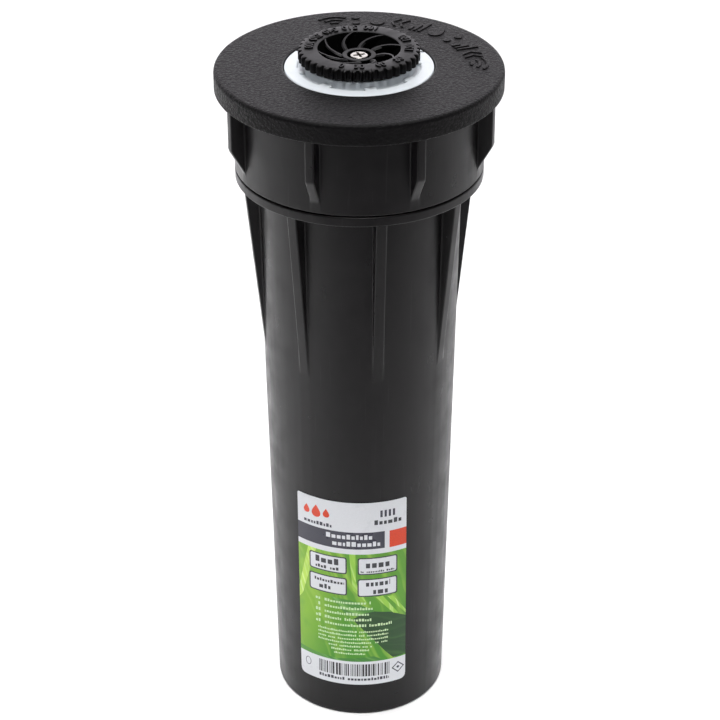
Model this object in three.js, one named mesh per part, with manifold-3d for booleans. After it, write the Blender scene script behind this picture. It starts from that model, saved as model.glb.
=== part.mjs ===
// Pop up spray sprinkler with a 1/2 inch bottom inlet, shown with its riser retracted.
// Millimetres, +Z up, origin at the centre of the base. The label faces -Y.
import * as THREE from 'three';
import { mergeVertices } from 'three/addons/utils/BufferGeometryUtils.js';
import Module from 'manifold-3d';

const wasm = await Module();
wasm.setup();

// Fits
const GAP = 0.3;
const SLIDE = 0.4;
const WELD = 0.6;
const OVERCUT = 1.0;

// Smoothness of round shapes
const BODY_SIDES = 36;
const INNER_SIDES = 28;
const SMALL_SIDES = 14;
const RING_SECTION_SIDES = 5;

// Case: a tapered tube with a collar ring, gussets and a threaded neck
const BASE_R = 18.25;
const SHOULDER_R = 20.55;
const WALL = 2.0;
const RING_Z = 123.1;
const RING_TOP_Z = 125.1;
const RING_R = 24.85;
const NECK_R = 21.3;
const NECK_TOP_Z = 137.5;
const NECK_BORE_R = 19.4;
const SEAT_Z = 131.0;
const SEAT_BORE_R = 17.6;
const SEAT_THICK = 2.0;
const SEAT_SLOPE = 1.5;
const RIB_COUNT = 8;
const GUSSET_R = 23.5;
const GUSSET_FOOT_Z = 85.5;
const GUSSET_WIDTH = 2.2;
const GUSSET_FIRST_DEG = 10.6;

// Inlet: a 1/2 inch female pipe thread in a boss under the floor
const FLOOR_Z = 12.6;
const FLOOR_TOP_Z = 15.0;
const BOSS_R = 13.0;
const INLET_ROOT_R = 10.5;
const INLET_CREST_R = 9.35;
const INLET_PITCH = 1.814;
const INLET_TURNS = 4.5;
const INLET_SIDES = 16;
const INLET_CREST = 0.4;
const INLET_MOUTH = 0.8;
const ORIFICE_R = 8.0;
const RIDGE_R = 10.8;
const RIDGE_HEIGHT = 1.0;
const RIDGE_TOP = 0.4;
const RIDGE_FOOT = 0.8;
const WEB_COUNT = 8;
const WEB_WIDTH = 1.6;

// Keys inside the case, which stop the sleeve turning
const KEY_COUNT = 4;
const KEY_R = 14.2;
const KEY_WIDTH = 1.6;
const KEY_TOP_Z = 122.0;
const KEY_LEAD_IN = 4.0;

// Cap and its thread on the neck
const CAP_FOOT_Z = RING_TOP_Z + GAP;
const CAP_TOP_Z = 146.0;
const FLANGE_R = 28.5;
const FLANGE_Z = 141.7;
const CAP_CEILING_Z = 142.8;
const CAP_BORE_R = 22.9;
const CAP_OPENING_R = 14.9;
const CAP_TUBE_R = 17.0;
const CAP_EDGE = 0.8;
const GRIP_R = 27.75;
const GRIP_WIDTH = 1.9;
const GRIP_FIRST_DEG = 25.1;
const GRIP_KNEE_Z = 133.05;
const GRIP_FOOT_Z = 127.7;
const CAP_LEAD = 3.0;
const MALE_CREST_R = 22.45;
const FEMALE_CREST_R = 21.75;
const THREAD_SIDES = 20;
const THREAD_BASE = 1.2;
const THREAD_CREST = 0.6;
const MALE_TOP_Z = 135.6;
const MALE_TURNS = 3;
const FEMALE_TURNS = 2.25;

// Label on the case
const LABEL_FROM_DEG = -43;
const LABEL_TO_DEG = 32;
const LABEL_LOW_Z = 8.3;
const LABEL_HIGH_Z = 56.2;
const LABEL_THICK = 0.3;

// Riser
const STEM_R = 10.0;
const STEM_BORE_R = 8.0;
const STEM_FOOT_Z = 19.2;
const SOCKET_R = 8.6;
const SOCKET_Z = 131.0;
const RISER_FLANGE_R = 14.5;
const RISER_FLANGE_Z = 142.6;
const RISER_TOP_Z = 145.9;
const GROOVE_R = 13.2;
const GROOVE_Z = 144.2;
const COLLAR_R = 11.0;
const COLLAR_TOP_Z = 146.3;
const BLOCK_WIDTH = 2.5;
const BLOCK_FIRST_DEG = 11;
const BLOCK_DROP = 0.1;
const RATCHET_TEETH = 24;
const RATCHET_ROOT_R = 11.8;
const RATCHET_TIP_R = 12.4;
const RATCHET_FALL = 0.2;

// Wiper seal, its backing ring and the retract spring
const STACK_R = NECK_BORE_R - SLIDE;
const BACKING_Z = SEAT_Z + GAP;
const BACKING_THICK = 2.0;
const SPIGOT_R = 11.2;
const SPIGOT_LENGTH = 2.5;
const SEAL_Z = BACKING_Z + BACKING_THICK + GAP;
const SEAL_THICK = 2.6;
const LIP_R = STEM_R + 0.35;
const LIP_ROOT_R = STEM_R + 2.6;
const LIP_TIP = 0.4;
const SPRING_R = 12.6;
const WIRE_R = 0.6;
const SPRING_TURNS = 9;
const SPRING_SIDES = 12;

// Sleeve that carries the riser along the keys
const SLEEVE_R = 15.9;
const SLEEVE_Z = 18.6;
const SLEEVE_TOP_Z = 27.0;
const SLEEVE_LEDGE_Z = 24.8;
const SLEEVE_POCKET_R = 13.0;
const PAWL_R = 12.75;
const PAWL_COUNT = 4;
const PAWL_WIDTH = 1.5;
const KEYWAY_R = 13.8;
const KEYWAY_WIDTH = 2.4;
const PAWL_LIFT = 1.0;
const SEAT_WASHER_R = SPRING_R + 1.2;
const CHECK_SEAL_R = 13.5;
const CHECK_SEAL_EDGE = 0.5;
const SPRING_SEAT_THICK = 0.8;

// Filter basket, nozzle base and deflector
const FILTER_R = 7.0;
const FILTER_BORE_R = 6.0;
const FILTER_FOOT_Z = 98.0;
const FILTER_COLLAR_TOP_Z = 134.0;
const SLOT_COUNT = 12;
const SLOT_WIDTH = 1.0;
const SLOT_MARGIN = 3.0;
const FILTER_FLOOR = 1.2;
const BASE_TUBE_R = SOCKET_R - GAP;
const BASE_TUBE_BORE_R = 7.4;
const BASE_TUBE_Z = FILTER_COLLAR_TOP_Z + GAP;
const BASE_TUBE_TOP_Z = 146.0;
const ORING_Z = 137.7;
const ORING_R = 7.8;
const ORING_SECTION_R = 0.5;
const CORE_Z = 140.3;
const CORE_TOP_Z = 141.5;
const CORE_HUB_R = 3.0;
const CORE_HUB_DEPTH = 2.8;
const PORT_COUNT = 6;
const PORT_R = 1.5;
const PORT_CIRCLE_R = 5.0;

// Arc wheel: knurled rim, bowl, curved vanes and hub in one moulding
const WHEEL_R = 11.95;
const WHEEL_ROOT_R = 11.35;
const WHEEL_Z = 147.6;
const WHEEL_TOP_Z = 150.0;
const KNURL_TOP_Z = 149.4;
const KNURL_TEETH = 40;
const BOWL_R = 8.2;
const BOWL_FOOT_R = 6.2;
const BOWL_FOOT_Z = 143.5;
const HUB_R = 3.4;
const HUB_Z = 145.0;
const HUB_TOP_Z = 148.3;
const HUB_BORE_R = 2.4;
const VANE_COUNT = 8;
const VANE_WIDTH = 0.8;
const VANE_SWIRL_DEG = 23.4;
const VANE_FIRST_DEG = 22.5;
const VANE_Z = 145.4;
const VANE_TOP_Z = 148.4;
const VANE_CURVE = 1.5;
const VANE_STEPS = 4;
const WHEEL_EDGE = 0.3;
const WASHER_R = 10.0;

// Radius screw, its seal and the throttle plug
const SCREW_R = 1.2;
const SCREW_HEAD_R = 1.75;
const SCREW_FOOT_Z = 127.2;
const SCREW_HEAD_Z = 147.2;
const SCREW_TOP_Z = 148.2;
const SCREW_EDGE = 0.3;
const CROSS_LENGTH = 2.4;
const CROSS_WIDTH = 0.5;
const CROSS_DEPTH = 0.9;
const CROSS_DEG = 20;
const SCREW_SEAL_Z = 145.4;
const SCREW_SEAL_R = 1.8;
const SCREW_SEAL_SECTION_R = 0.3;
const PLUG_R = 3.4;
const PLUG_Z = 126.4;
const PLUG_TOP_Z = 130.2;
const PLUG_TIP = 0.6;
const PLUG_TAPER = 2.2;

const FULL_TURN = Math.PI * 2;

// Angles on the object are counted from its front, -Y, towards +X.
function fromFront(degrees) {
  return THREE.MathUtils.degToRad(degrees - 90);
}

function caseRadius(z) {
  return BASE_R + ((SHOULDER_R - BASE_R) * z) / RING_Z;
}

// Solids that can be joined and cut, from closed geometries
function solid(geometry) {
  const bare = geometry.clone();
  bare.deleteAttribute('normal');
  bare.deleteAttribute('uv');
  const merged = mergeVertices(bare, 1e-4);
  const corners = merged.index.array;
  const kept = [];
  for (let i = 0; i < corners.length; i += 3) {
    const [a, b, c] = [corners[i], corners[i + 1], corners[i + 2]];
    if (a !== b && b !== c && c !== a) {
      kept.push(a, b, c);
    }
  }
  const mesh = new wasm.Mesh({
    numProp: 3,
    vertProperties: new Float32Array(merged.attributes.position.array),
    triVerts: new Uint32Array(kept),
  });
  return new wasm.Manifold(mesh);
}

function geometryOf(shape) {
  const mesh = shape.getMesh();
  const geometry = new THREE.BufferGeometry();
  geometry.setAttribute('position', new THREE.BufferAttribute(mesh.vertProperties, 3));
  geometry.setIndex(new THREE.BufferAttribute(mesh.triVerts, 1));
  geometry.computeVertexNormals();
  return geometry;
}

// A turned solid. The profile is [radius, height] points, anticlockwise, and closes on itself
// unless it starts and ends on the axis.
function turned(profile, sides) {
  const points = profile.map(([r, z]) => new THREE.Vector2(r, z));
  if (profile[0][0] > 0) {
    points.push(points[0].clone());
  }
  const geometry = new THREE.LatheGeometry(points, sides);
  geometry.rotateX(Math.PI / 2);
  return solid(geometry);
}

// A flat outline of [x, y] points, standing from one height to another
function upright(outline, low, high, holes = []) {
  const shape = new THREE.Shape(outline.map(([x, y]) => new THREE.Vector2(x, y)));
  shape.holes = holes;
  const geometry = new THREE.ExtrudeGeometry(shape, { depth: high - low, bevelEnabled: false });
  geometry.translate(0, 0, low);
  return solid(geometry);
}

// A plate of some width standing in the plane through the axis, from [radius, height] points
function fin(outline, width, angle) {
  const shape = new THREE.Shape(outline.map(([r, z]) => new THREE.Vector2(r, z)));
  const geometry = new THREE.ExtrudeGeometry(shape, { depth: width, bevelEnabled: false });
  geometry.translate(0, 0, -width / 2);
  geometry.rotateX(Math.PI / 2);
  geometry.rotateZ(angle);
  return solid(geometry);
}

// A section of [radius, height] points wound downwards round the axis, right handed
function wound(section, { start = 0, turns, lead = 0, sides }) {
  const shape = new THREE.Shape(section.map(([r, z]) => new THREE.Vector2(r, z)));
  const steps = Math.max(1, Math.round(turns * sides));
  const geometry = new THREE.ExtrudeGeometry(shape, { depth: 1, steps, bevelEnabled: false });
  const place = geometry.attributes.position;
  for (let i = 0; i < place.count; i += 1) {
    const along = place.getZ(i) * turns;
    const angle = start - along * FULL_TURN;
    const radius = place.getX(i);
    const height = place.getY(i) - along * lead;
    place.setXYZ(i, radius * Math.cos(angle), radius * Math.sin(angle), height);
  }
  return solid(geometry);
}

function circleOutline(x, y, radius, sides) {
  const corner = (i) => (i * FULL_TURN) / sides;
  const point = (a) => [x + radius * Math.cos(a), y + radius * Math.sin(a)];
  return Array.from({ length: sides }, (_, i) => point(corner(i)));
}

function roundHole(radius, sides) {
  return new THREE.Path(circleOutline(0, 0, radius, sides).map(([x, y]) => new THREE.Vector2(x, y)));
}

function ring(inner, outer, low, high, sides = INNER_SIDES) {
  return turned([[inner, low], [outer, low], [outer, high], [inner, high]], sides);
}

function oRing(radius, height, sectionRadius, sides) {
  return turned(circleOutline(radius, height, sectionRadius, RING_SECTION_SIDES), sides);
}

// Adds or cuts count copies, evenly spaced from a first angle
function repeated(shape, count, firstAngle, make, how = 'add') {
  let made = shape;
  for (let i = 0; i < count; i += 1) {
    made = made[how](make(firstAngle + (i * FULL_TURN) / count));
  }
  return made;
}

// ---- Case ----

function threadSection(inner, outer, innerWidth, outerWidth, z) {
  return [
    [inner, z - innerWidth / 2],
    [outer, z - outerWidth / 2],
    [outer, z + outerWidth / 2],
    [inner, z + innerWidth / 2],
  ];
}

function bodyCase() {
  const shell = turned([
    [BASE_R, 0],
    [SHOULDER_R, RING_Z],
    [RING_R, RING_Z],
    [RING_R, RING_TOP_Z],
    [NECK_R, RING_TOP_Z],
    [NECK_R, NECK_TOP_Z],
    [NECK_BORE_R, NECK_TOP_Z],
    [NECK_BORE_R, SEAT_Z],
    [SEAT_BORE_R, SEAT_Z],
    [SEAT_BORE_R, SEAT_Z - SEAT_THICK],
    [SHOULDER_R - WALL, SEAT_Z - SEAT_THICK - SEAT_SLOPE],
    [caseRadius(FLOOR_TOP_Z) - WALL, FLOOR_TOP_Z],
    [RIDGE_R + RIDGE_FOOT, FLOOR_TOP_Z],
    [RIDGE_R + RIDGE_TOP, FLOOR_TOP_Z + RIDGE_HEIGHT],
    [RIDGE_R - RIDGE_TOP, FLOOR_TOP_Z + RIDGE_HEIGHT],
    [RIDGE_R - RIDGE_FOOT, FLOOR_TOP_Z],
    [ORIFICE_R, FLOOR_TOP_Z],
    [ORIFICE_R, FLOOR_Z],
    [INLET_ROOT_R, FLOOR_Z],
    [INLET_ROOT_R, INLET_MOUTH],
    [INLET_ROOT_R + INLET_MOUTH, 0],
    [BOSS_R, 0],
    [BOSS_R, FLOOR_Z],
    [caseRadius(FLOOR_Z) - WALL, FLOOR_Z],
    [BASE_R - WALL, 0],
  ], BODY_SIDES);

  const gusset = [
    [caseRadius(GUSSET_FOOT_Z) - WELD, GUSSET_FOOT_Z - 1],
    [caseRadius(GUSSET_FOOT_Z), GUSSET_FOOT_Z],
    [GUSSET_R, RING_Z + WELD],
    [SHOULDER_R - WELD, RING_Z + WELD],
  ];
  const key = [
    [KEY_R, FLOOR_TOP_Z - WELD],
    [BASE_R - WELD, FLOOR_TOP_Z - WELD],
    [SHOULDER_R - WELD, KEY_TOP_Z + KEY_LEAD_IN],
    [KEY_R, KEY_TOP_Z],
  ];
  const web = [
    [BOSS_R - WELD, WEB_WIDTH],
    [BASE_R - WALL + WELD, WEB_WIDTH],
    [BASE_R - WALL + WELD, FLOOR_Z + WELD],
    [BOSS_R - WELD, FLOOR_Z + WELD],
  ];
  const inletTopZ = FLOOR_Z - INLET_PITCH * 0.7;
  const neckThread = wound(
    threadSection(NECK_R - WELD, MALE_CREST_R, THREAD_BASE + WELD, THREAD_CREST, MALE_TOP_Z),
    { turns: MALE_TURNS, lead: CAP_LEAD, sides: THREAD_SIDES },
  );
  const inletThread = wound(
    threadSection(INLET_CREST_R, INLET_ROOT_R + WELD, INLET_CREST, INLET_PITCH - GAP, inletTopZ),
    { turns: INLET_TURNS, lead: INLET_PITCH, sides: INLET_SIDES },
  );

  let body = shell.add(neckThread).add(inletThread);
  body = repeated(body, RIB_COUNT, fromFront(GUSSET_FIRST_DEG), (a) => fin(gusset, GUSSET_WIDTH, a));
  body = repeated(body, KEY_COUNT, fromFront(0), (a) => fin(key, KEY_WIDTH, a));
  return repeated(body, WEB_COUNT, fromFront(0), (a) => fin(web, WEB_WIDTH, a));
}

function label() {
  const radius = (z) => caseRadius(z) + GAP;
  const section = [
    [radius(LABEL_LOW_Z), LABEL_LOW_Z],
    [radius(LABEL_LOW_Z) + LABEL_THICK, LABEL_LOW_Z],
    [radius(LABEL_HIGH_Z) + LABEL_THICK, LABEL_HIGH_Z],
    [radius(LABEL_HIGH_Z), LABEL_HIGH_Z],
  ];
  const turns = (LABEL_TO_DEG - LABEL_FROM_DEG) / 360;
  return wound(section, { start: fromFront(LABEL_TO_DEG), turns, sides: 2 * BODY_SIDES });
}

// ---- Cap ----

function cap() {
  const shell = turned([
    [CAP_BORE_R, CAP_FOOT_Z],
    [RING_R, CAP_FOOT_Z],
    [RING_R, FLANGE_Z],
    [FLANGE_R - CAP_EDGE / 2, FLANGE_Z],
    [FLANGE_R, FLANGE_Z + CAP_EDGE / 2],
    [FLANGE_R, CAP_TOP_Z - CAP_EDGE],
    [FLANGE_R - CAP_EDGE, CAP_TOP_Z],
    [CAP_OPENING_R, CAP_TOP_Z],
    [CAP_OPENING_R, SEAL_Z + SEAL_THICK + GAP],
    [CAP_TUBE_R, SEAL_Z + SEAL_THICK + GAP],
    [CAP_TUBE_R, CAP_CEILING_Z],
    [CAP_BORE_R, CAP_CEILING_Z],
  ], BODY_SIDES);
  const grip = [
    [RING_R - WELD, GRIP_FOOT_Z - WELD],
    [RING_R, GRIP_FOOT_Z],
    [GRIP_R, GRIP_KNEE_Z],
    [GRIP_R, FLANGE_Z + WELD],
    [RING_R - WELD, FLANGE_Z + WELD],
  ];
  const femaleTopZ = MALE_TOP_Z - CAP_LEAD / 2;
  const thread = wound(
    threadSection(FEMALE_CREST_R, CAP_BORE_R + WELD, THREAD_CREST, THREAD_BASE + WELD, femaleTopZ),
    { turns: FEMALE_TURNS, lead: CAP_LEAD, sides: THREAD_SIDES },
  );
  const gripped = repeated(shell, RIB_COUNT, fromFront(GRIP_FIRST_DEG), (a) => fin(grip, GRIP_WIDTH, a));
  return gripped.add(thread);
}

// ---- Seal stack under the cap ----

// Two lips point at the stem: the upper one wipes it, and the lower one holds the pressure
function wiperSeal() {
  const top = SEAL_Z + SEAL_THICK;
  return turned([
    [STACK_R, SEAL_Z],
    [STACK_R, top],
    [LIP_ROOT_R + 2 * LIP_TIP, top],
    [LIP_ROOT_R, top - 2 * LIP_TIP],
    [LIP_R + LIP_TIP, top - LIP_TIP / 2],
    [LIP_R, top - 1.5 * LIP_TIP],
    [LIP_ROOT_R - LIP_TIP, SEAL_Z + SEAL_THICK / 2],
    [LIP_R, SEAL_Z + LIP_TIP],
    [LIP_R + LIP_TIP, SEAL_Z],
  ], INNER_SIDES);
}

function springRetainer() {
  const bore = STEM_R + 2 * GAP;
  return turned([
    [bore, BACKING_Z - SPIGOT_LENGTH],
    [SPIGOT_R, BACKING_Z - SPIGOT_LENGTH],
    [SPIGOT_R, BACKING_Z],
    [STACK_R, BACKING_Z],
    [STACK_R, BACKING_Z + BACKING_THICK],
    [bore, BACKING_Z + BACKING_THICK],
  ], INNER_SIDES);
}

function retractSpring() {
  const low = SLEEVE_TOP_Z + 2 * GAP + SPRING_SEAT_THICK;
  const high = BACKING_Z - GAP;
  const lead = (high - low - 2 * WIRE_R) / SPRING_TURNS;
  const section = circleOutline(SPRING_R, high - WIRE_R, WIRE_R, RING_SECTION_SIDES);
  return wound(section, { turns: SPRING_TURNS, lead, sides: SPRING_SIDES });
}

// ---- Sleeve ----

function ratchetSleeve() {
  const shell = turned([
    [SLEEVE_POCKET_R, SLEEVE_Z],
    [SLEEVE_R, SLEEVE_Z],
    [SLEEVE_R, SLEEVE_TOP_Z],
    [STEM_R + SLIDE, SLEEVE_TOP_Z],
    [STEM_R + SLIDE, SLEEVE_LEDGE_Z],
    [SLEEVE_POCKET_R, SLEEVE_LEDGE_Z],
  ], INNER_SIDES);
  const pawl = [
    [PAWL_R, SLEEVE_Z + PAWL_LIFT],
    [SLEEVE_POCKET_R + WELD, SLEEVE_Z + PAWL_LIFT],
    [SLEEVE_POCKET_R + WELD, SLEEVE_LEDGE_Z + WELD],
    [PAWL_R, SLEEVE_LEDGE_Z + WELD],
  ];
  const keyway = [
    [KEYWAY_R, SLEEVE_Z - OVERCUT],
    [SLEEVE_R + OVERCUT, SLEEVE_Z - OVERCUT],
    [SLEEVE_R + OVERCUT, SLEEVE_TOP_Z + OVERCUT],
    [KEYWAY_R, SLEEVE_TOP_Z + OVERCUT],
  ];
  const eighthTurn = FULL_TURN / 8;
  const pawled = repeated(shell, PAWL_COUNT, fromFront(0) + eighthTurn, (a) => fin(pawl, PAWL_WIDTH, a));
  return repeated(pawled, KEY_COUNT, fromFront(0), (a) => fin(keyway, KEYWAY_WIDTH, a), 'subtract');
}

function drainCheckSeal() {
  const low = FLOOR_TOP_Z + RIDGE_HEIGHT + GAP;
  const high = SLEEVE_Z - GAP;
  return turned([
    [ORIFICE_R + GAP, low],
    [CHECK_SEAL_R - CHECK_SEAL_EDGE, low],
    [CHECK_SEAL_R, low + CHECK_SEAL_EDGE],
    [CHECK_SEAL_R, high],
    [ORIFICE_R + GAP, high],
  ], INNER_SIDES);
}

function springSeat() {
  const low = SLEEVE_TOP_Z + GAP;
  return ring(STEM_R + SLIDE, SEAT_WASHER_R, low, low + SPRING_SEAT_THICK);
}

// ---- Riser ----

function riserStem() {
  const tube = turned([
    [STEM_BORE_R, STEM_FOOT_Z],
    [STEM_R, STEM_FOOT_Z],
    [STEM_R, RISER_FLANGE_Z],
    [RISER_FLANGE_R, RISER_FLANGE_Z],
    [RISER_FLANGE_R, RISER_TOP_Z],
    [GROOVE_R, RISER_TOP_Z],
    [GROOVE_R, GROOVE_Z],
    [COLLAR_R, GROOVE_Z],
    [COLLAR_R, COLLAR_TOP_Z],
    [SOCKET_R, COLLAR_TOP_Z],
    [SOCKET_R, SOCKET_Z],
    [STEM_BORE_R, SOCKET_Z - WELD],
  ], INNER_SIDES);
  const block = [
    [COLLAR_R - WELD, GROOVE_Z - WELD],
    [GROOVE_R + WELD, GROOVE_Z - WELD],
    [GROOVE_R + WELD, RISER_TOP_Z - BLOCK_DROP],
    [COLLAR_R - WELD, RISER_TOP_Z - BLOCK_DROP],
  ];
  return repeated(tube, RIB_COUNT, fromFront(BLOCK_FIRST_DEG), (a) => fin(block, BLOCK_WIDTH, a));
}

function ratchetRing() {
  const outline = [];
  for (let i = 0; i < RATCHET_TEETH; i += 1) {
    const a = (i * FULL_TURN) / RATCHET_TEETH;
    const fall = a + (RATCHET_FALL * FULL_TURN) / RATCHET_TEETH;
    outline.push([RATCHET_TIP_R * Math.cos(a), RATCHET_TIP_R * Math.sin(a)]);
    outline.push([RATCHET_ROOT_R * Math.cos(fall), RATCHET_ROOT_R * Math.sin(fall)]);
  }
  return upright(outline, STEM_FOOT_Z, SLEEVE_LEDGE_Z - GAP, [roundHole(STEM_R + GAP, RATCHET_TEETH)]);
}

function filterScreen() {
  const basket = turned([
    [0, FILTER_FOOT_Z],
    [FILTER_R - WELD, FILTER_FOOT_Z],
    [FILTER_R, FILTER_FOOT_Z + WELD],
    [FILTER_R, SOCKET_Z + GAP],
    [BASE_TUBE_R, SOCKET_Z + GAP],
    [BASE_TUBE_R, FILTER_COLLAR_TOP_Z],
    [FILTER_BORE_R, FILTER_COLLAR_TOP_Z],
    [FILTER_BORE_R, FILTER_FOOT_Z + FILTER_FLOOR],
    [0, FILTER_FOOT_Z + FILTER_FLOOR],
  ], INNER_SIDES);
  const slot = [
    [FILTER_BORE_R - OVERCUT, FILTER_FOOT_Z + SLOT_MARGIN],
    [FILTER_R + OVERCUT, FILTER_FOOT_Z + SLOT_MARGIN],
    [FILTER_R + OVERCUT, SOCKET_Z - SLOT_MARGIN],
    [FILTER_BORE_R - OVERCUT, SOCKET_Z - SLOT_MARGIN],
  ];
  return repeated(basket, SLOT_COUNT, 0, (a) => fin(slot, SLOT_WIDTH, a), 'subtract');
}

function nozzleBase() {
  const grooveR = ORING_R - ORING_SECTION_R - GAP;
  const grooveHalf = ORING_SECTION_R + GAP;
  return turned([
    [FILTER_BORE_R, BASE_TUBE_Z],
    [BASE_TUBE_R, BASE_TUBE_Z],
    [BASE_TUBE_R, ORING_Z - grooveHalf],
    [grooveR, ORING_Z - grooveHalf],
    [grooveR, ORING_Z + grooveHalf],
    [BASE_TUBE_R, ORING_Z + grooveHalf],
    [BASE_TUBE_R, BASE_TUBE_TOP_Z],
    [BASE_TUBE_BORE_R, BASE_TUBE_TOP_Z],
    [BASE_TUBE_BORE_R, CORE_Z - GAP],
    [FILTER_BORE_R, CORE_Z - GAP],
  ], INNER_SIDES);
}

function deflectorCore() {
  const bore = SCREW_R + GAP;
  const disc = turned([
    [bore, CORE_Z - CORE_HUB_DEPTH],
    [CORE_HUB_R, CORE_Z - CORE_HUB_DEPTH],
    [CORE_HUB_R, CORE_Z],
    [BASE_TUBE_BORE_R - GAP, CORE_Z],
    [BASE_TUBE_BORE_R - GAP, CORE_TOP_Z],
    [bore, CORE_TOP_Z],
  ], INNER_SIDES);
  const port = (a) => {
    const [x, y] = [PORT_CIRCLE_R * Math.cos(a), PORT_CIRCLE_R * Math.sin(a)];
    return upright(circleOutline(x, y, PORT_R, SMALL_SIDES), CORE_Z - OVERCUT, CORE_TOP_Z + OVERCUT);
  };
  return repeated(disc, PORT_COUNT, 0, port, 'subtract');
}

// ---- Arc wheel ----

function knurlOutline() {
  const outline = [];
  const pitch = FULL_TURN / KNURL_TEETH;
  for (let i = 0; i < 2 * KNURL_TEETH; i += 1) {
    const radius = i % 2 === 0 ? WHEEL_R : WHEEL_ROOT_R;
    const a = (i * pitch) / 2;
    outline.push([radius * Math.cos(a), radius * Math.sin(a)]);
  }
  return outline;
}

// One vane in plan: a strip that swirls back as it comes in from the rim to the hub
function vane(outerAngle) {
  const [innerR, outerR] = [HUB_R - WELD, BOWL_FOOT_R + WELD];
  const sides = { left: [], right: [] };
  for (let i = 0; i <= VANE_STEPS; i += 1) {
    const t = i / VANE_STEPS;
    const radius = innerR + (outerR - innerR) * t;
    const swirl = THREE.MathUtils.degToRad(VANE_SWIRL_DEG) * (1 - t ** VANE_CURVE);
    const half = VANE_WIDTH / 2 / radius;
    const at = (a) => [radius * Math.cos(a), radius * Math.sin(a)];
    sides.left.push(at(outerAngle + swirl + half));
    sides.right.unshift(at(outerAngle + swirl - half));
  }
  return upright([...sides.left, ...sides.right], VANE_Z, VANE_TOP_Z);
}

function arcWheel() {
  const bowl = turned([
    [BOWL_FOOT_R, BOWL_FOOT_Z],
    [BASE_TUBE_BORE_R - SLIDE, BOWL_FOOT_Z],
    [BASE_TUBE_BORE_R - SLIDE, WHEEL_Z],
    [WHEEL_ROOT_R - WHEEL_EDGE, WHEEL_Z],
    [WHEEL_ROOT_R + WHEEL_EDGE, WHEEL_TOP_Z - WHEEL_EDGE],
    [WHEEL_ROOT_R, WHEEL_TOP_Z],
    [BOWL_R, WHEEL_TOP_Z],
    [BOWL_FOOT_R, WHEEL_Z],
  ], INNER_SIDES);
  const hub = ring(HUB_BORE_R, HUB_R, HUB_Z, HUB_TOP_Z, SMALL_SIDES);
  const rim = upright(knurlOutline(), WHEEL_Z, KNURL_TOP_Z, [roundHole(BOWL_R + OVERCUT, SMALL_SIDES)]);
  return repeated(bowl.add(rim).add(hub), VANE_COUNT, THREE.MathUtils.degToRad(VANE_FIRST_DEG), vane);
}

function arcWasher() {
  return ring(SOCKET_R + GAP, WASHER_R, COLLAR_TOP_Z + GAP, WHEEL_Z - GAP);
}

// ---- Radius screw ----

function screwSeal() {
  return oRing(SCREW_SEAL_R, SCREW_SEAL_Z, SCREW_SEAL_SECTION_R, SMALL_SIDES);
}

function radiusScrew() {
  const blank = turned([
    [0, SCREW_FOOT_Z],
    [SCREW_R, SCREW_FOOT_Z],
    [SCREW_R, SCREW_HEAD_Z],
    [SCREW_HEAD_R, SCREW_HEAD_Z],
    [SCREW_HEAD_R, SCREW_TOP_Z - SCREW_EDGE],
    [SCREW_HEAD_R - SCREW_EDGE, SCREW_TOP_Z],
    [0, SCREW_TOP_Z],
  ], SMALL_SIDES);
  const half = CROSS_LENGTH / 2;
  const [low, high] = [SCREW_TOP_Z - CROSS_DEPTH, SCREW_TOP_Z + OVERCUT];
  const slot = [[-half, low], [half, low], [half, high], [-half, high]];
  const angle = THREE.MathUtils.degToRad(CROSS_DEG);
  return blank.subtract(fin(slot, CROSS_WIDTH, angle)).subtract(fin(slot, CROSS_WIDTH, angle + Math.PI / 2));
}

function throttlePlug() {
  const bore = SCREW_R + GAP;
  return turned([
    [bore, PLUG_Z],
    [bore + PLUG_TIP, PLUG_Z],
    [PLUG_R, PLUG_Z + PLUG_TAPER],
    [PLUG_R, PLUG_TOP_Z],
    [bore, PLUG_TOP_Z],
  ], SMALL_SIDES);
}

// ---- The object ----

const FINISH = {
  blackPlastic: { color: 0x262528, roughness: 0.42, metalness: 0 },
  grainedPlastic: { color: 0x2b2a2d, roughness: 0.6, metalness: 0 },
  whitePlastic: { color: 0xe4e7ea, roughness: 0.4, metalness: 0 },
  greyPlastic: { color: 0x8d9094, roughness: 0.5, metalness: 0 },
  blackRubber: { color: 0x17171a, roughness: 0.8, metalness: 0 },
  springSteel: { color: 0xb8babd, roughness: 0.25, metalness: 1 },
  stainless: { color: 0xc9c8c4, roughness: 0.2, metalness: 1 },
  printedFilm: { color: 0x8fae5a, roughness: 0.35, metalness: 0 },
};

const PIECES = [
  ['body_case', bodyCase, FINISH.blackPlastic],
  ['label', label, FINISH.printedFilm],
  ['cap', cap, FINISH.grainedPlastic],
  ['wiper_seal', wiperSeal, FINISH.blackRubber],
  ['spring_retainer', springRetainer, FINISH.greyPlastic],
  ['retract_spring', retractSpring, FINISH.springSteel],
  ['spring_seat', springSeat, FINISH.whitePlastic],
  ['ratchet_sleeve', ratchetSleeve, FINISH.greyPlastic],
  ['drain_check_seal', drainCheckSeal, FINISH.blackRubber],
  ['riser_stem', riserStem, FINISH.whitePlastic],
  ['ratchet_ring', ratchetRing, FINISH.whitePlastic],
  ['filter_screen', filterScreen, FINISH.greyPlastic],
  ['nozzle_base', nozzleBase, FINISH.blackPlastic],
  ['nozzle_oring', () => oRing(ORING_R, ORING_Z, ORING_SECTION_R, INNER_SIDES), FINISH.blackRubber],
  ['deflector_core', deflectorCore, FINISH.blackPlastic],
  ['arc_wheel', arcWheel, FINISH.blackPlastic],
  ['arc_washer', arcWasher, FINISH.blackRubber],
  ['screw_seal', screwSeal, FINISH.blackRubber],
  ['radius_screw', radiusScrew, FINISH.stainless],
  ['throttle_plug', throttlePlug, FINISH.whitePlastic],
];

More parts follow.
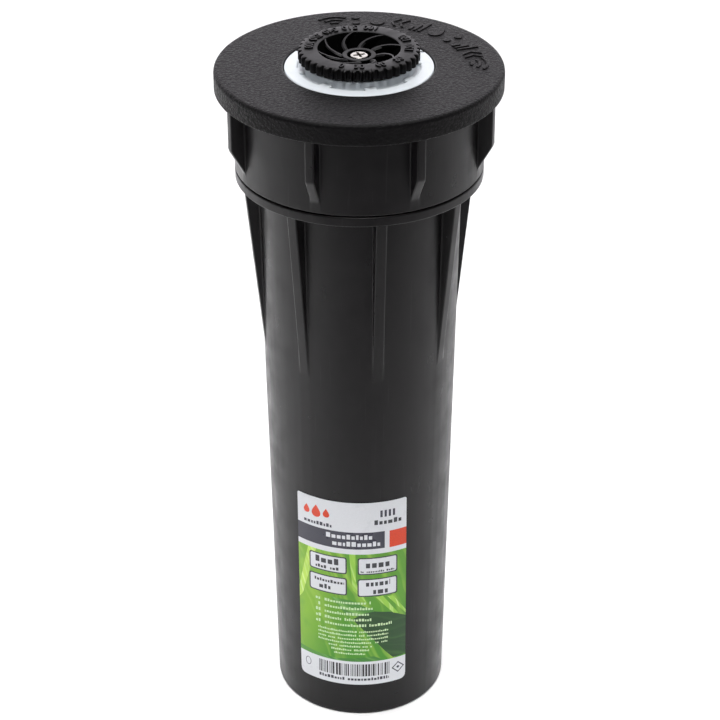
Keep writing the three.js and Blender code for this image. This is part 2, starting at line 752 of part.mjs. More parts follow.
const sprinkler = new THREE.Group();
for (const [name, make, finish] of PIECES) {
  const mesh = new THREE.Mesh(geometryOf(make()), new THREE.MeshStandardMaterial(finish));
  mesh.name = name;
  sprinkler.add(mesh);
}

export default sprinkler;
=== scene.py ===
"""Pop up spray sprinkler: its looks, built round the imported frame.

Lengths are millimetres until a mesh is made, and metres after that. Angles on the object are degrees
from its front, -Y, towards +X. Every piece stands for one node of the frame and rides on its body.
"""
import math
import random
from contextlib import contextmanager

import bmesh
import bpy
from mathutils import Matrix, Vector, geometry


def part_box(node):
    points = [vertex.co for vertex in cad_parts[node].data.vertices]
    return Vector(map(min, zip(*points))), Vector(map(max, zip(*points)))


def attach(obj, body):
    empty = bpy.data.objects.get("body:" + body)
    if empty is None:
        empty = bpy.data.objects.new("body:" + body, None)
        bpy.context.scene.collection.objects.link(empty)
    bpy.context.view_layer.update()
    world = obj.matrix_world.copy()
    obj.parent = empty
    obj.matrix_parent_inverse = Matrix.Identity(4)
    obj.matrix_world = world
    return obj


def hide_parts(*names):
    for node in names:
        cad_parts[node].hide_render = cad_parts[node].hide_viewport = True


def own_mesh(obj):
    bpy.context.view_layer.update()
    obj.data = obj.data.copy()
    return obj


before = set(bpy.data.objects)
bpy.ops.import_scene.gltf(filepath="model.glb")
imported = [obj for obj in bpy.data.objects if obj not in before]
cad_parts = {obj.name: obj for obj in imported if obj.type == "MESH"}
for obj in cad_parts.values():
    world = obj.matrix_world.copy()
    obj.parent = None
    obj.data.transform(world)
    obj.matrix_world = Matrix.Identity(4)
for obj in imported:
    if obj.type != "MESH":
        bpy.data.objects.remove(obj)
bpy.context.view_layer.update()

MM = 0.001
DICE = random.Random(11)


def reach(node):
    """Outer radius, foot height and top height of a node of the frame."""
    low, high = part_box(node)
    return max(high.x, high.y) / MM, low.z / MM, high.z / MM


# Case
RING_R, CASE_FOOT, NECK_TOP = reach("body_case")
BASE_R = 18.25
SHOULDER_R = 20.55
WALL = 2.0
RING_Z = 123.1
RING_TOP = 125.1
NECK_R = 21.3
NECK_CREST = 22.45
NECK_BORE = 19.4
SEAT_Z = 131.0
SEAT_BORE = 17.6
RIBS = 8
GUSSET_R = 23.5
GUSSET_FOOT = 85.5
GUSSET_WIDTH = 2.2
GUSSET_FIRST = 10.6
FLOOR_Z = 12.6
FLOOR_TOP = 15.0
BOSS_R = 13.0
INLET_ROOT = 10.5
INLET_CREST = 9.35
INLET_PITCH = 1.814
ORIFICE_R = 8.0
KEY_R = 14.2
KEY_TOP = 122.0

# Cap
FLANGE_R, CAP_FOOT, CAP_TOP = reach("cap")
FLANGE_Z = 141.7
CEILING_Z = 142.8
CAP_BORE = 22.9
CAP_CREST = 21.75
OPENING_R = 14.9
TUBE_R = 17.0
TUBE_FOOT = 136.5
GRIP_R = 27.75
GRIP_WIDTH = 1.9
GRIP_FIRST = 25.1
GRIP_FOOT = 127.7
GRIP_KNEE = 133.05
THREAD_LEAD = 3.0
MARK_HEIGHT = 0.22
MARK_R = 22.9
MARKS_FROM = 193.0
MARKS_TO = 91.0
GATE_R = 24.5
GATE_AT = -4

# Riser, wheel and screw
STEM_R = 10.0
STEM_BORE = 8.0
SOCKET_R = 8.6
RISER_FLANGE_R, STEM_FOOT, COLLAR_TOP = reach("riser_stem")
COLLAR_R = 11.0
LIP_R = 10.3
GROOVE_R = 12.1
BLOCK_R = 13.95
BLOCKS_FIRST = 11
NOTCH_AT = 119
STEP_AT = -127
WHEEL_R, BOWL_FOOT, WHEEL_TOP = reach("arc_wheel")
TEETH = 40
TOOTH_FIRST = 3.0
TOOTH_ROOT = 11.25
GROOVED_TEETH = (-26, 13)
KNURL_FOOT = 147.45
CONE_FOOT = 146.9
BAND_Z = 149.7
BOWL_TOP_R = 8.2
BOWL_FOOT_R = 6.2
HUB_R = 3.4
VANES = 8
VANE_FIRST = 99.9
VANE_SWIRL = 36
VANE_CURVE = 1.5
DIAL_R = 9.7
DIAL_SIZE = 2.5
DIAL_SQUEEZE = 0.85
DIAL = (("0", -20), ("30", 0), ("60", 25), ("90", 50), ("120", 86), ("150", 114), ("180", 166),
        ("210", 191), ("240", 216), ("270", 241), ("300", 265))
HEAD_R, SCREW_FOOT, SCREW_TOP = reach("radius_screw")

# Label: its place on the case, and the size of its artwork
LABEL_MIDDLE = -6.3
LABEL_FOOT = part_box("label")[0].z / MM
LABEL_WIDTH = 24.3
LABEL_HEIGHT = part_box("label")[1].z / MM - LABEL_FOOT
FILM_GAP = 0.03
FILM_THICK = 0.14
FILM_GLOSS = {"Specular_IOR_Level": 0.3, "Coat_Weight": 0.12, "Coat_Roughness": 0.18}

# Studio: camera, and each softbox with its place, size, power in watts, the spot it faces and its spread
CAMERA_PLACE = (0.00003, -0.42655, 0.32806)
CAMERA_PITCH = 90 - 30.246
CAMERA_ROLL = -0.14
CAMERA_LENS = 117.88
SOFTBOXES = (
    ("overhead_softbox", (0, 0.22, 0.55), (1.4, 0.62), 2.2, (0, 0.22, 0), 40),
    ("left_softbox", (-0.34, 0.0, 0.55), (0.45, 0.6), 1.06, (-0.34, 0.0, 0), 40),
    ("right_softbox", (0.39, 0.06, 0.55), (0.45, 0.5), 0.38, (0.39, 0.06, 0), 40),
    ("front_softbox", (0, -0.27, 0.6), (0.4, 0.12), 0.22, (0, -0.055, 0), 31))


def case_radius(z):
    """Radius of the tapered wall at a height."""
    return BASE_R + (SHOULDER_R - BASE_R) * z / RING_Z


def at(radius, angle, z):
    """A point by its angle in degrees from the front."""
    a = math.radians(angle)
    return Vector((radius * math.sin(a), -radius * math.cos(a), z))


# ---- Shapes ----

@contextmanager
def editing(mesh):
    """A mesh as a bmesh, written back at the end."""
    work = bmesh.new()
    work.from_mesh(mesh)
    yield work
    work.to_mesh(mesh)
    work.free()


def placed(name, data):
    """A new object in the scene."""
    made = bpy.data.objects.new(name, data)
    bpy.context.scene.collection.objects.link(made)
    return made


def evaluated(obj):
    """An object's mesh with its modifiers applied."""
    return bpy.data.meshes.new_from_object(obj.evaluated_get(bpy.context.evaluated_depsgraph_get()))


def as_object(name, points, faces):
    """A closed solid from points in millimetres, with its faces turned outwards."""
    mesh = bpy.data.meshes.new(name)
    mesh.from_pydata([Vector(p) * MM for p in points], [], faces)
    with editing(mesh) as work:
        bmesh.ops.remove_doubles(work, verts=work.verts, dist=1e-6)
        bmesh.ops.dissolve_degenerate(work, edges=work.edges, dist=1e-7)
        bmesh.ops.recalc_face_normals(work, faces=work.faces)
    return placed(name, mesh)


def rounded(corners, steps=4):
    """A closed outline. A corner's third number, if it has one, is how far from it the rounding starts."""
    outline = []
    for i, corner in enumerate(corners):
        here = Vector(corner[:2])
        if len(corner) < 3:
            outline.append(here)
            continue
        before = Vector(corners[i - 1][:2]) - here
        after = Vector(corners[(i + 1) % len(corners)][:2]) - here
        start = here + before.normalized() * min(corner[2], before.length * 0.45)
        end = here + after.normalized() * min(corner[2], after.length * 0.45)
        for k in range(steps + 1):
            t = k / steps
            outline.append(start * (1 - t) ** 2 + here * 2 * t * (1 - t) + end * t * t)
    return outline


def sheet_of(rows, closed=True):
    """Quads between rows of points, where every row closes on itself."""
    count = len(rows[0])
    faces = []
    for i in range(len(rows) if closed else len(rows) - 1):
        below, above = i * count, ((i + 1) % len(rows)) * count
        for j in range(count):
            k = (j + 1) % count
            faces.append((below + j, below + k, above + k, above + j))
    return [p for row in rows for p in row], faces


def bar_through(name, rows):
    """A closed solid through rows of points, with both ends filled."""
    points, faces = sheet_of(rows, closed=False)
    count = len(rows[0])
    last = len(points) - count
    faces.append(tuple(range(count)))
    faces.append(tuple(last + j for j in reversed(range(count))))
    return as_object(name, points, faces)


def turned(name, corners, sides=96):
    """A turned solid from a closed outline of (radius, height), or one that starts and ends on the axis."""
    outline = rounded(corners)
    angles = [360 * k / sides for k in range(sides)]
    rows = [[at(r, a, z) for a in angles] for r, z in outline]
    return as_object(name, *sheet_of(rows, closed=outline[0][0] > 0))


def rib_columns(width, foot, edge):
    """Across a rib, from its left foot to its right: (sideways, up from the foot, down from the crest)."""
    half = width / 2
    left = [(-half - foot * (1 - t) ** 2, foot * t * t, None) for t in (0, 0.35, 0.7, 1)]
    left += [(-half + edge * t * t, None, edge * (1 - t) ** 2) for t in (0, 0.35, 0.7, 1)]
    right = [(-s, up, down) for s, up, down in reversed(left)]
    return left + [(0, None, 0)] + right


def ribbed(name, outline, crest, count, first, width, foot, edge, between, root_r, groove=None):
    """A turned solid with ribs. crest(r, z) is where the rib's crest stands over a point of the outline.

    The ribs keep their width outside root_r and narrow with the radius inside it. groove(i) is how
    deep the middle of rib i's crest is cut.
    """
    columns = rib_columns(width, foot, edge)
    pitch = 360 / count
    rows = []
    for r, z in outline:
        top_r, top_z = crest(r, z)
        rise = math.hypot(top_r - r, top_z - z)
        narrow = min(1, r / root_r)
        row = []
        for i in range(count):
            centre = first + i * pitch
            cut = groove(i) if groove else 0
            for s, up, down in columns:
                share = 0
                if rise > 0.01:
                    height = min(up, rise * 0.45) if down is None else rise - min(down, rise * 0.45)
                    share = (height - (cut if s == 0 else 0)) / rise
                radius = r + (top_r - r) * share
                row.append(at(radius, centre + math.degrees(math.asin(s * narrow / radius)),
                              z + (top_z - z) * share))
            edge_angle = math.degrees(math.asin(columns[-1][0] * narrow / r))
            free = pitch - 2 * edge_angle
            for k in range(1, between + 1):
                row.append(at(r, centre + edge_angle + free * k / (between + 1), z))
        rows.append(row)
    return as_object(name, *sheet_of(rows))


def wound(name, section, turns, lead, start=0.0, sides=72, taper=0.0, root=0.0, climb=None):
    """A section of (radius, height) wound down round the axis. Over taper degrees at each end the
    section sinks to the radius root. climb(t), from 0 to 1, replaces the even lead."""
    steps = round(turns * sides)
    rows = []
    for i in range(steps + 1):
        t = i / steps
        angle = -360 * turns * t
        drop = climb(t) if climb else lead * turns * t
        sink = min(1, -angle / taper, (360 * turns + angle) / taper) if taper else 1
        rows.append([at(root + (r - root) * (0.05 + 0.95 * sink) if taper else r, start + angle, z - drop)
                     for r, z in section])
    return bar_through(name, rows)


def box_outline(left, low, right, high, corner=0.0):
    """A rectangle, with its corners rounded."""
    ends = [(left, low), (right, low), (right, high), (left, high)]
    return [tuple(p) for p in rounded([(*end, corner) for end in ends], 3)] if corner else ends


def circle(x, y, radius, sides=16):
    return [(x + radius * math.cos(math.tau * k / sides), y + radius * math.sin(math.tau * k / sides))
            for k in range(sides)]


def above(z):
    """A test for the edges that lie above a height."""
    return lambda edge: all(v.co.z > z * MM for v in edge.verts)


def bevelled(obj, offset, keep=lambda edge: True, segments=2):
    """Rounds an object's sharp edges by an offset in millimetres."""
    with editing(obj.data) as work:
        sharp = [e for e in work.edges if e.calc_face_angle(0) > math.radians(30) and keep(e)]
        bmesh.ops.bevel(work, geom=sharp, offset=offset * MM, segments=segments, affect="EDGES", profile=0.5,
                        clamp_overlap=True)
    return obj


def plate(name, outline, width, angle, edge=0.0):
    """A plate standing in the plane through the axis, from an outline of (radius, height)."""
    across = at(width / 2, angle + 90, 0)
    middle = [at(r, angle, z) for r, z in outline]
    made = bar_through(name, [[p - across for p in middle], [p + across for p in middle]])
    return bevelled(made, edge) if edge else made


def prism(name, outline, low, high, edge=0.0):
    """An outline of (x, y) standing between two heights, with its upper edges rounded."""
    made = bar_through(name, [[(x, y, z) for x, y in outline] for z in (low, high)])
    return bevelled(made, edge, above(high - 1e-4)) if edge else made


def drilled(radius, angle, hole, low, high):
    """A round plug standing off the axis, to cut a hole with."""
    spot = at(radius, angle, 0)
    return prism("drill", circle(spot.x, spot.y, hole, 24), low, high)


def merged(objects):
    """Several closed solids as one object."""
    first, *others = objects
    with editing(first.data) as work:
        for obj in others:
            work.from_mesh(obj.data)
            bpy.data.objects.remove(obj)
    return first


def combined(base, tool, how="UNION"):
    """Joins or cuts one closed solid with another."""
    change = base.modifiers.new("change", "BOOLEAN")
    change.operation = how
    change.solver = "MANIFOLD"
    change.object = tool
    made = evaluated(base)
    base.modifiers.clear()
    base.data = made
    bpy.data.objects.remove(tool)
    return base


def around(count, first, make):
    """Copies made at even angles, as one object."""
    return merged([make(first + 360 * k / count) for k in range(count)])


# ---- Materials ----

def linear(*srgb):
    """An 0 to 255 screen colour as the shader's linear one."""
    return tuple((c / 255 / 12.92) if c <= 10 else ((c / 255 + 0.055) / 1.055) ** 2.4 for c in srgb)


def scaled(colour, factor, plus=0.0):
    return tuple(c * factor + plus for c in colour)


class Surface:
    """A node material in the making: its Principled shader, and textures laid in the object's space."""

    def __init__(self, name, colour, roughness, metallic=0.0, **sockets):
        self.material = bpy.data.materials.new(name)
        self.material.use_nodes = True
        self.tree = self.material.node_tree
        self.shader = self.tree.nodes["Principled BSDF"]
        self.shader.inputs["Base Color"].default_value = (*colour, 1)
        self.shader.inputs["Roughness"].default_value = roughness
        self.shader.inputs["Metallic"].default_value = metallic
        for socket, value in sockets.items():
            self.shader.inputs[socket.replace("_", " ")].default_value = value
        self.place = self.node("ShaderNodeTexCoord").outputs["Object"]
        self.height = None

    def node(self, kind, links=(), **settings):
        made = self.tree.nodes.new(kind)
        for key, value in settings.items():
            setattr(made, key, value)
        for socket, value in dict(links).items():
            if isinstance(value, bpy.types.NodeSocket):
                self.tree.links.new(value, made.inputs[socket])
            else:
                made.inputs[socket].default_value = value
        return made

    def stretched(self, stretch):
        """The object's space drawn out along an axis, for streaks."""
        made = self.node("ShaderNodeMapping", {"Vector": self.place, "Scale": stretch})
        return made.outputs["Vector"]

    def noise(self, size, detail=2.0, stretch=None, distortion=0.0):
        """Soft noise whose features are about size millimetres across."""
        place = self.stretched(stretch) if stretch else self.place
        made = self.node("ShaderNodeTexNoise", {"Vector": place, "Scale": 1 / (size * MM), "Detail": detail,
                                                "Distortion": distortion})
        return made.outputs["Fac"]

    def cells(self, size, feature="F1", stretch=None):
        """Distance to scattered points about size millimetres apart."""
        place = self.stretched(stretch) if stretch else self.place
        made = self.node("ShaderNodeTexVoronoi", {"Vector": place, "Scale": 1 / (size * MM)}, feature=feature)
        return made.outputs["Distance"]

    def between(self, value, low, high, to_low=0.0, to_high=1.0):
        """A value's range from low to high, spread to another range and held inside it."""
        made = self.node("ShaderNodeMapRange", {"Value": value, "From Min": low, "From Max": high,
                                                "To Min": to_low, "To Max": to_high})
        return made.outputs["Result"]

    def math(self, operation, a, b=0.0):
        return self.node("ShaderNodeMath", {0: a, 1: b}, operation=operation).outputs[0]

    def blend(self, share, a, b):
        """A colour between two others."""
        made = self.node("ShaderNodeMix", data_type="RGBA")
        for index, value in ((0, share), (6, a), (7, b)):
            if isinstance(value, bpy.types.NodeSocket):
                self.tree.links.new(value, made.inputs[index])
            else:
                made.inputs[index].default_value = (*value, 1) if index else value
        return made.outputs[2]

    def set(self, socket, value):
        self.tree.links.new(value, self.shader.inputs[socket])

    def colour(self, mask, share, a, b):
        """Colours the surface from a to b by a share of a mask."""
        self.set("Base Color", self.blend(self.math("MULTIPLY", mask, share), a, b))

    def gloss(self, value, low, high):
        """Spreads the middle of a noise's range over a range of roughness."""
        self.set("Roughness", self.between(value, 0.3, 0.7, low, high))

    def bump(self, height, depth, strength=1.0):
        """Adds relief of a depth in millimetres on top of any before it."""
        links = {"Height": height, "Distance": depth * MM, "Strength": strength}
        if self.height is not None:
            links["Normal"] = self.height
        self.height = self.node("ShaderNodeBump", links).outputs["Normal"]
        self.set("Normal", self.height)


def satin_plastic(name, colour, roughness=0.36, spread=0.08, specular=0.22):
    """Smooth moulded plastic: mottled gloss, faint flow streaks, fine grain, hairline scuffs, dust."""
    skin = Surface(name, colour, roughness, Specular_IOR_Level=specular)
    mottle = skin.noise(5.0, 3.0)
    streaks = skin.noise(1.6, 3.0, stretch=(1, 1, 0.08))
    hairs = skin.between(skin.noise(0.5, 2.0, stretch=(1, 1, 0.03), distortion=0.4), 0.66, 0.74)
    dust = skin.between(skin.cells(5.0), 0.010, 0.022, 1.0, 0.0)
    rough = skin.math("ADD", skin.between(mottle, 0.3, 0.7, roughness - spread, roughness + spread),
                      skin.between(streaks, 0.35, 0.65, -0.03, 0.03))
    skin.set("Roughness", skin.math("ADD", rough, skin.math("MULTIPLY", hairs, 0.06)))
    worn = skin.blend(skin.between(mottle, 0.25, 0.75), scaled(colour, 0.82), scaled(colour, 1.2, 0.0015))
    marked = skin.blend(skin.math("MULTIPLY", hairs, 0.16), worn, scaled(colour, 1, 0.03))
    skin.colour(dust, 0.6, marked, (0.16, 0.155, 0.15))
    skin.bump(skin.noise(0.18, 2.0), 0.006, 0.6)
    skin.bump(streaks, 0.012, 0.4)
    return skin.material


def grained_plastic(name, colour):
    """Spark-eroded grain: fine pits and bumps over the top of the cap, polished a little on the highs."""
    skin = Surface(name, colour, 0.5, Specular_IOR_Level=0.13)
    pits = skin.cells(0.55, "SMOOTH_F1")
    fine = skin.noise(0.2, 3.0)
    broad = skin.noise(4.0, 3.0)
    grain = skin.math("ADD", skin.math("MULTIPLY", pits, 0.7), skin.math("MULTIPLY", fine, 0.6))
    skin.set("Roughness", skin.between(grain, 0.35, 0.85, 0.40, 0.62))
    specks = skin.between(skin.noise(0.3, 4.0), 0.6, 0.72)
    tone = skin.blend(skin.between(broad, 0.3, 0.7), scaled(colour, 0.85), scaled(colour, 1.15))
    skin.colour(specks, 0.5, tone, scaled(colour, 2.2))
    skin.bump(skin.noise(1.3, 3.0), 0.12, 0.6)
    skin.bump(grain, 0.16, 1.0)
    return skin.material


def pale_plastic(name, colour, roughness=0.38):
    """Unpigmented or tinted plastic, a little milky, with flow marks and faint soiling."""
    skin = Surface(name, colour, roughness, Specular_IOR_Level=0.22)
    soil = skin.between(skin.noise(3.0, 4.0), 0.58, 0.8)
    tint = tuple(c * k for c, k in zip(colour, (0.86, 0.84, 0.80)))
    skin.colour(soil, 0.5, colour, tint)
    skin.gloss(skin.noise(1.8, 3.0), roughness - 0.07, roughness + 0.09)
    skin.bump(skin.noise(0.25, 2.0), 0.008, 0.5)
    skin.bump(skin.noise(2.4, 1.0), 0.03, 0.3)
    return skin.material


def rubber(name):
    """Moulded rubber: matt, with a bloom of talc and a leathery skin."""
    colour = linear(24, 24, 26)
    skin = Surface(name, colour, 0.75, Specular_IOR_Level=0.35)
    bloom = skin.between(skin.noise(2.2, 4.0), 0.5, 0.8)
    skin.colour(bloom, 0.5, colour, linear(62, 61, 60))
    skin.gloss(skin.noise(0.6, 3.0), 0.66, 0.86)
    skin.bump(skin.cells(0.3, "SMOOTH_F1"), 0.02, 0.5)
    return skin.material


def drawn_wire(name):
    """Spring steel wire, with die lines along it and a light oil tint."""
    colour = linear(176, 176, 178)
    skin = Surface(name, colour, 0.3, 1.0)
    lines = skin.noise(0.12, 2.0, stretch=(0.3, 0.3, 3.0))
    skin.gloss(lines, 0.22, 0.40)
    tint = skin.between(skin.noise(6.0, 3.0), 0.35, 0.7)
    skin.set("Base Color", skin.blend(tint, colour, linear(150, 142, 128)))
    skin.bump(lines, 0.004, 0.6)
    return skin.material


def turned_steel(name):
    """Stainless steel fresh off the lathe, bright on its edges."""
    colour = linear(178, 175, 169)
    skin = Surface(name, colour, 0.18, 1.0)
    rings = skin.noise(0.07, 2.0, stretch=(1.0, 1.0, 2.5))
    skin.gloss(rings, 0.12, 0.28)
    grime = skin.between(skin.noise(0.7, 3.0), 0.55, 0.75)
    skin.colour(grime, 0.35, colour, linear(120, 116, 108))
    skin.bump(rings, 0.004, 0.5)
    return skin.material


def ink(name, colour, amount=0.06):
    """A flat print colour on glossy film, with the faint unevenness of print."""
    skin = Surface(name, colour, 0.33, **FILM_GLOSS)
    screen = skin.between(skin.noise(0.25, 3.0), 0.35, 0.65)
    skin.set("Base Color", skin.blend(screen, scaled(colour, 1 - 2 * amount), colour))
    skin.gloss(skin.noise(3.0, 3.0), 0.26, 0.42)
    skin.bump(skin.noise(1.4, 2.0), 0.012, 0.4)
    return skin.material


def foliage_print(name, dark, light, glow, veins):
    """Printed grass and leaves, blurred. veins are their slopes across and up the label, and their width."""
    dark, light, glow = linear(*dark), linear(*light), linear(*glow)
    skin = Surface(name, light, 0.33, **FILM_GLOSS)
    spot = skin.node("ShaderNodeAttribute", attribute_name="print_place")
    skin.place = spot.outputs["Vector"]
    across = skin.node("ShaderNodeSeparateXYZ", {0: skin.place})
    u, v = across.outputs["X"], across.outputs["Y"]
    bend = skin.math("MULTIPLY", skin.noise(9.0, 1.0), 0.004)
    slope = skin.math("ADD", skin.math("MULTIPLY", u, veins[0]), skin.math("MULTIPLY", v, veins[1]))
    blades = skin.node("ShaderNodeTexNoise", {"W": skin.math("ADD", slope, bend), "Detail": 2.0,
                                              "Scale": 1 / (veins[2] * MM)}, noise_dimensions="1D")
    ramp = skin.math("ADD", skin.between(v, 6 * MM, 22 * MM, 0.1, 0.6),
                     skin.between(u, 0.0, 11 * MM, 0.6, -0.3))
    base = skin.blend(skin.between(ramp, 0.1, 0.9), dark, light)
    lit = skin.blend(skin.between(blades.outputs["Fac"], 0.5, 0.72, 0.0, 0.7), base, glow)
    soft = skin.between(skin.noise(5.0, 2.0), 0.48, 0.75, 0.0, 0.45)
    skin.set("Base Color", skin.blend(soft, lit, dark))
    skin.bump(skin.noise(1.4, 2.0), 0.012, 0.4)
    return skin.material


BLACK = satin_plastic("black_plastic", linear(15, 13.5, 14.5))
GRAIN = grained_plastic("grained_black_plastic", linear(7, 6, 7))
WHEEL_BLACK = satin_plastic("acetal_black", linear(11, 10, 11), 0.46, 0.06)
# Painted shade: the wheel's plastic near black and without reflection, for the inside of its bowl
BOWL_PAINTED_SHADE = satin_plastic("bowl_painted_shade", linear(2, 2, 2), 0.7, 0.05, specular=0.0)
WHITE = pale_plastic("white_plastic", linear(206, 211, 215))
GREY = pale_plastic("grey_plastic", linear(136, 139, 143), roughness=0.45)
RUBBER = rubber("black_rubber")
WIRE = drawn_wire("spring_steel")
STEEL = turned_steel("stainless_steel")


def finished(obj, materials, body, node, sharp=32, weighted=True):
    """Gives a piece its finish, and puts it in the frame in place of its node."""
    obj.data.materials.clear()
    for material in materials if isinstance(materials, list) else [materials]:
        obj.data.materials.append(material)
    obj.data.polygons.foreach_set("material_index", [0] * len(obj.data.polygons))
    obj.data.shade_smooth()
    obj.data.set_sharp_from_angle(angle=math.radians(sharp))
    if weighted:
        obj.modifiers.new("even_shading", "WEIGHTED_NORMAL").keep_sharp = True
    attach(obj, body)
    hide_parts(node)
    return obj


def paint(obj, index, where):
    """Gives a material index to the faces whose centre and normal pass a test, in millimetres."""
    for face in obj.data.polygons:
        if where(face.center / MM, face.normal):
            face.material_index = index


# ---- Case ----

def case_outline():
    """Up the outside, over the neck, down the inside, and through the inlet and its boss."""
    heights = [10, 30, 50, 70, 80, GUSSET_FOOT - 0.4, GUSSET_FOOT + 0.6]
    rise = RING_Z - 2 - GUSSET_FOOT
    heights += [GUSSET_FOOT + rise * k / 9 for k in range(1, 10)]
    return rounded([(BASE_R, CASE_FOOT, 0.7)] + [(case_radius(z), z) for z in heights] + [
        (SHOULDER_R, RING_Z, 0.6), (RING_R, RING_Z, 0.3), (RING_R, RING_TOP, 0.3), (NECK_R, RING_TOP, 0.3),
        (NECK_R, NECK_TOP, 0.5), (NECK_BORE, NECK_TOP, 0.4), (NECK_BORE, SEAT_Z, 0.2),
        (SEAT_BORE, SEAT_Z, 0.3), (SEAT_BORE, SEAT_Z - 2), (SHOULDER_R - WALL, SEAT_Z - 3.5),
        (case_radius(FLOOR_TOP) - WALL, FLOOR_TOP, 0.8), (11.6, FLOOR_TOP, 0.2), (11.2, FLOOR_TOP + 1, 0.2),
        (10.4, FLOOR_TOP + 1, 0.2), (10.0, FLOOR_TOP, 0.2), (ORIFICE_R, FLOOR_TOP, 0.4),
        (ORIFICE_R, FLOOR_Z, 0.4), (INLET_ROOT, FLOOR_Z, 0.2), (INLET_ROOT, 0.8), (INLET_ROOT + 0.8, 0, 0.2),
        (BOSS_R, 0, 0.5), (BOSS_R, FLOOR_Z, 0.8), (case_radius(FLOOR_Z) - WALL, FLOOR_Z, 0.8),
        (BASE_R - WALL, 0, 0.5)])


def gusset_crest(r, z):
    """Where a gusset stands over a point of the case's outline."""
    on_wall = r > case_radius(z) - 0.05 and GUSSET_FOOT < z <= RING_Z
    if not on_wall or r > RING_R - 0.05:
        return r, z
    share = (z - GUSSET_FOOT) / (RING_Z - GUSSET_FOOT)
    slope = case_radius(GUSSET_FOOT) + (GUSSET_R - case_radius(GUSSET_FOOT)) * share
    spread = GUSSET_R + (r - SHOULDER_R) / (RING_R - SHOULDER_R) * (RING_R - GUSSET_R)
    return max(slope, spread if r > SHOULDER_R else slope, r), z


def thread_tooth(tip, root, tip_half, root_half, z):
    return [(tip, z - tip_half), (root, z - root_half), (root, z + root_half), (tip, z + tip_half)]


def case():
    shell = ribbed("case_moulding", case_outline(), gusset_crest, RIBS, GUSSET_FIRST, GUSSET_WIDTH,
                   foot=0.35, edge=0.3, between=9, root_r=BASE_R)
    key = [(KEY_R, FLOOR_TOP - 0.6), (BASE_R - 0.6, FLOOR_TOP - 0.6), (SHOULDER_R - 0.6, KEY_TOP + 4),
           (KEY_R, KEY_TOP)]
    web = box_outline(BOSS_R - 0.6, 1.6, BASE_R - WALL + 0.6, FLOOR_Z + 0.6)
    keys = around(4, 0, lambda a: plate("key", key, 1.6, a, 0.2))
    webs = around(8, 0, lambda a: plate("web", web, 1.6, a, 0.2))
    neck = wound("neck_thread", thread_tooth(NECK_CREST, NECK_R - 0.5, 0.3, 0.85, 135.6), 3, THREAD_LEAD,
                 taper=40, root=NECK_R - 0.4)
    inlet = wound("inlet_thread", thread_tooth(INLET_CREST, INLET_ROOT + 0.5, 0.2, 0.75, 11.3), 4.5,
                  INLET_PITCH, taper=40, root=INLET_ROOT + 0.4)
    for part in (keys, webs, neck, inlet):
        shell = combined(shell, part)
    finished(shell, BLACK, "case", "body_case")


# ---- Cap ----

def cap_outline():
    """Up the skirt, over the flange, down the opening's tube, and back to the bore."""
    return rounded([
        (CAP_BORE, CAP_FOOT, 0.3), (RING_R, CAP_FOOT, 0.3), (RING_R, GRIP_FOOT - 0.3),
        (RING_R, GRIP_FOOT + 0.5), (RING_R, GRIP_FOOT + 2.2), (RING_R, GRIP_KNEE - 0.35),
        (RING_R, GRIP_KNEE + 0.35), (RING_R, FLANGE_Z - 1.4), (RING_R, FLANGE_Z, 0.5),
        (FLANGE_R, FLANGE_Z, 0.4), (FLANGE_R, CAP_TOP, 0.9), (FLANGE_R - 2.5, CAP_TOP),
        (20.0, CAP_TOP), (OPENING_R, CAP_TOP, 0.35), (OPENING_R, TUBE_FOOT, 0.3), (TUBE_R, TUBE_FOOT, 0.3),
        (TUBE_R, CEILING_Z, 0.4), (CAP_BORE, CEILING_Z, 0.4)])


def grip_crest(r, z):
    """Where a grip rib stands over a point of the cap's outline."""
    if r < RING_R - 0.05 or not GRIP_FOOT < z <= FLANGE_Z or r > FLANGE_R - 0.1:
        return r, z
    slope = RING_R + (GRIP_R - RING_R) * min(1, (z - GRIP_FOOT) / (GRIP_KNEE - GRIP_FOOT))
    spread = GRIP_R + (r - RING_R) / (FLANGE_R - RING_R) * (FLANGE_R - GRIP_R) * 0.9
    return max(slope, spread if r > RING_R + 0.01 else slope, r), z


def arc_band(middle, radius, half_width, start, end, steps=10):
    """A curved bar, as an outline round a middle point."""
    outer = [start + (end - start) * k / steps for k in range(steps + 1)]
    rim = [(radius + half_width, a) for a in outer] + [(radius - half_width, a) for a in reversed(outer)]
    return [(middle[0] + r * math.cos(math.radians(a)), middle[1] + r * math.sin(math.radians(a)))
            for r, a in rim]


def drop_outline(x, y, size, steps=18):
    """A water drop with its point up."""
    outline = []
    for k in range(steps):
        a = math.tau * k / steps
        pinch = (0.5 + 0.5 * math.sin(a)) ** 1.6
        outline.append((x + size * 0.42 * math.cos(a) * (1 - pinch * 0.85), y + size * 0.5 * math.sin(a)))
    return outline


def bar(x, y, width, height, lean=0.0):
    """A bar centred on a point, leaning sideways by lean."""
    return [(x - width / 2 - lean / 2, y - height / 2), (x + width / 2 - lean / 2, y - height / 2),
            (x + width / 2 + lean / 2, y + height / 2), (x - width / 2 + lean / 2, y + height / 2)]


def chevron(x, y, width, height, thick):
    """An arrow head that points along +X."""
    half = height / 2
    return [(x, y - half), (x + thick, y - half), (x + width + thick, y), (x + thick, y + half),
            (x, y + half), (x + width, y)]


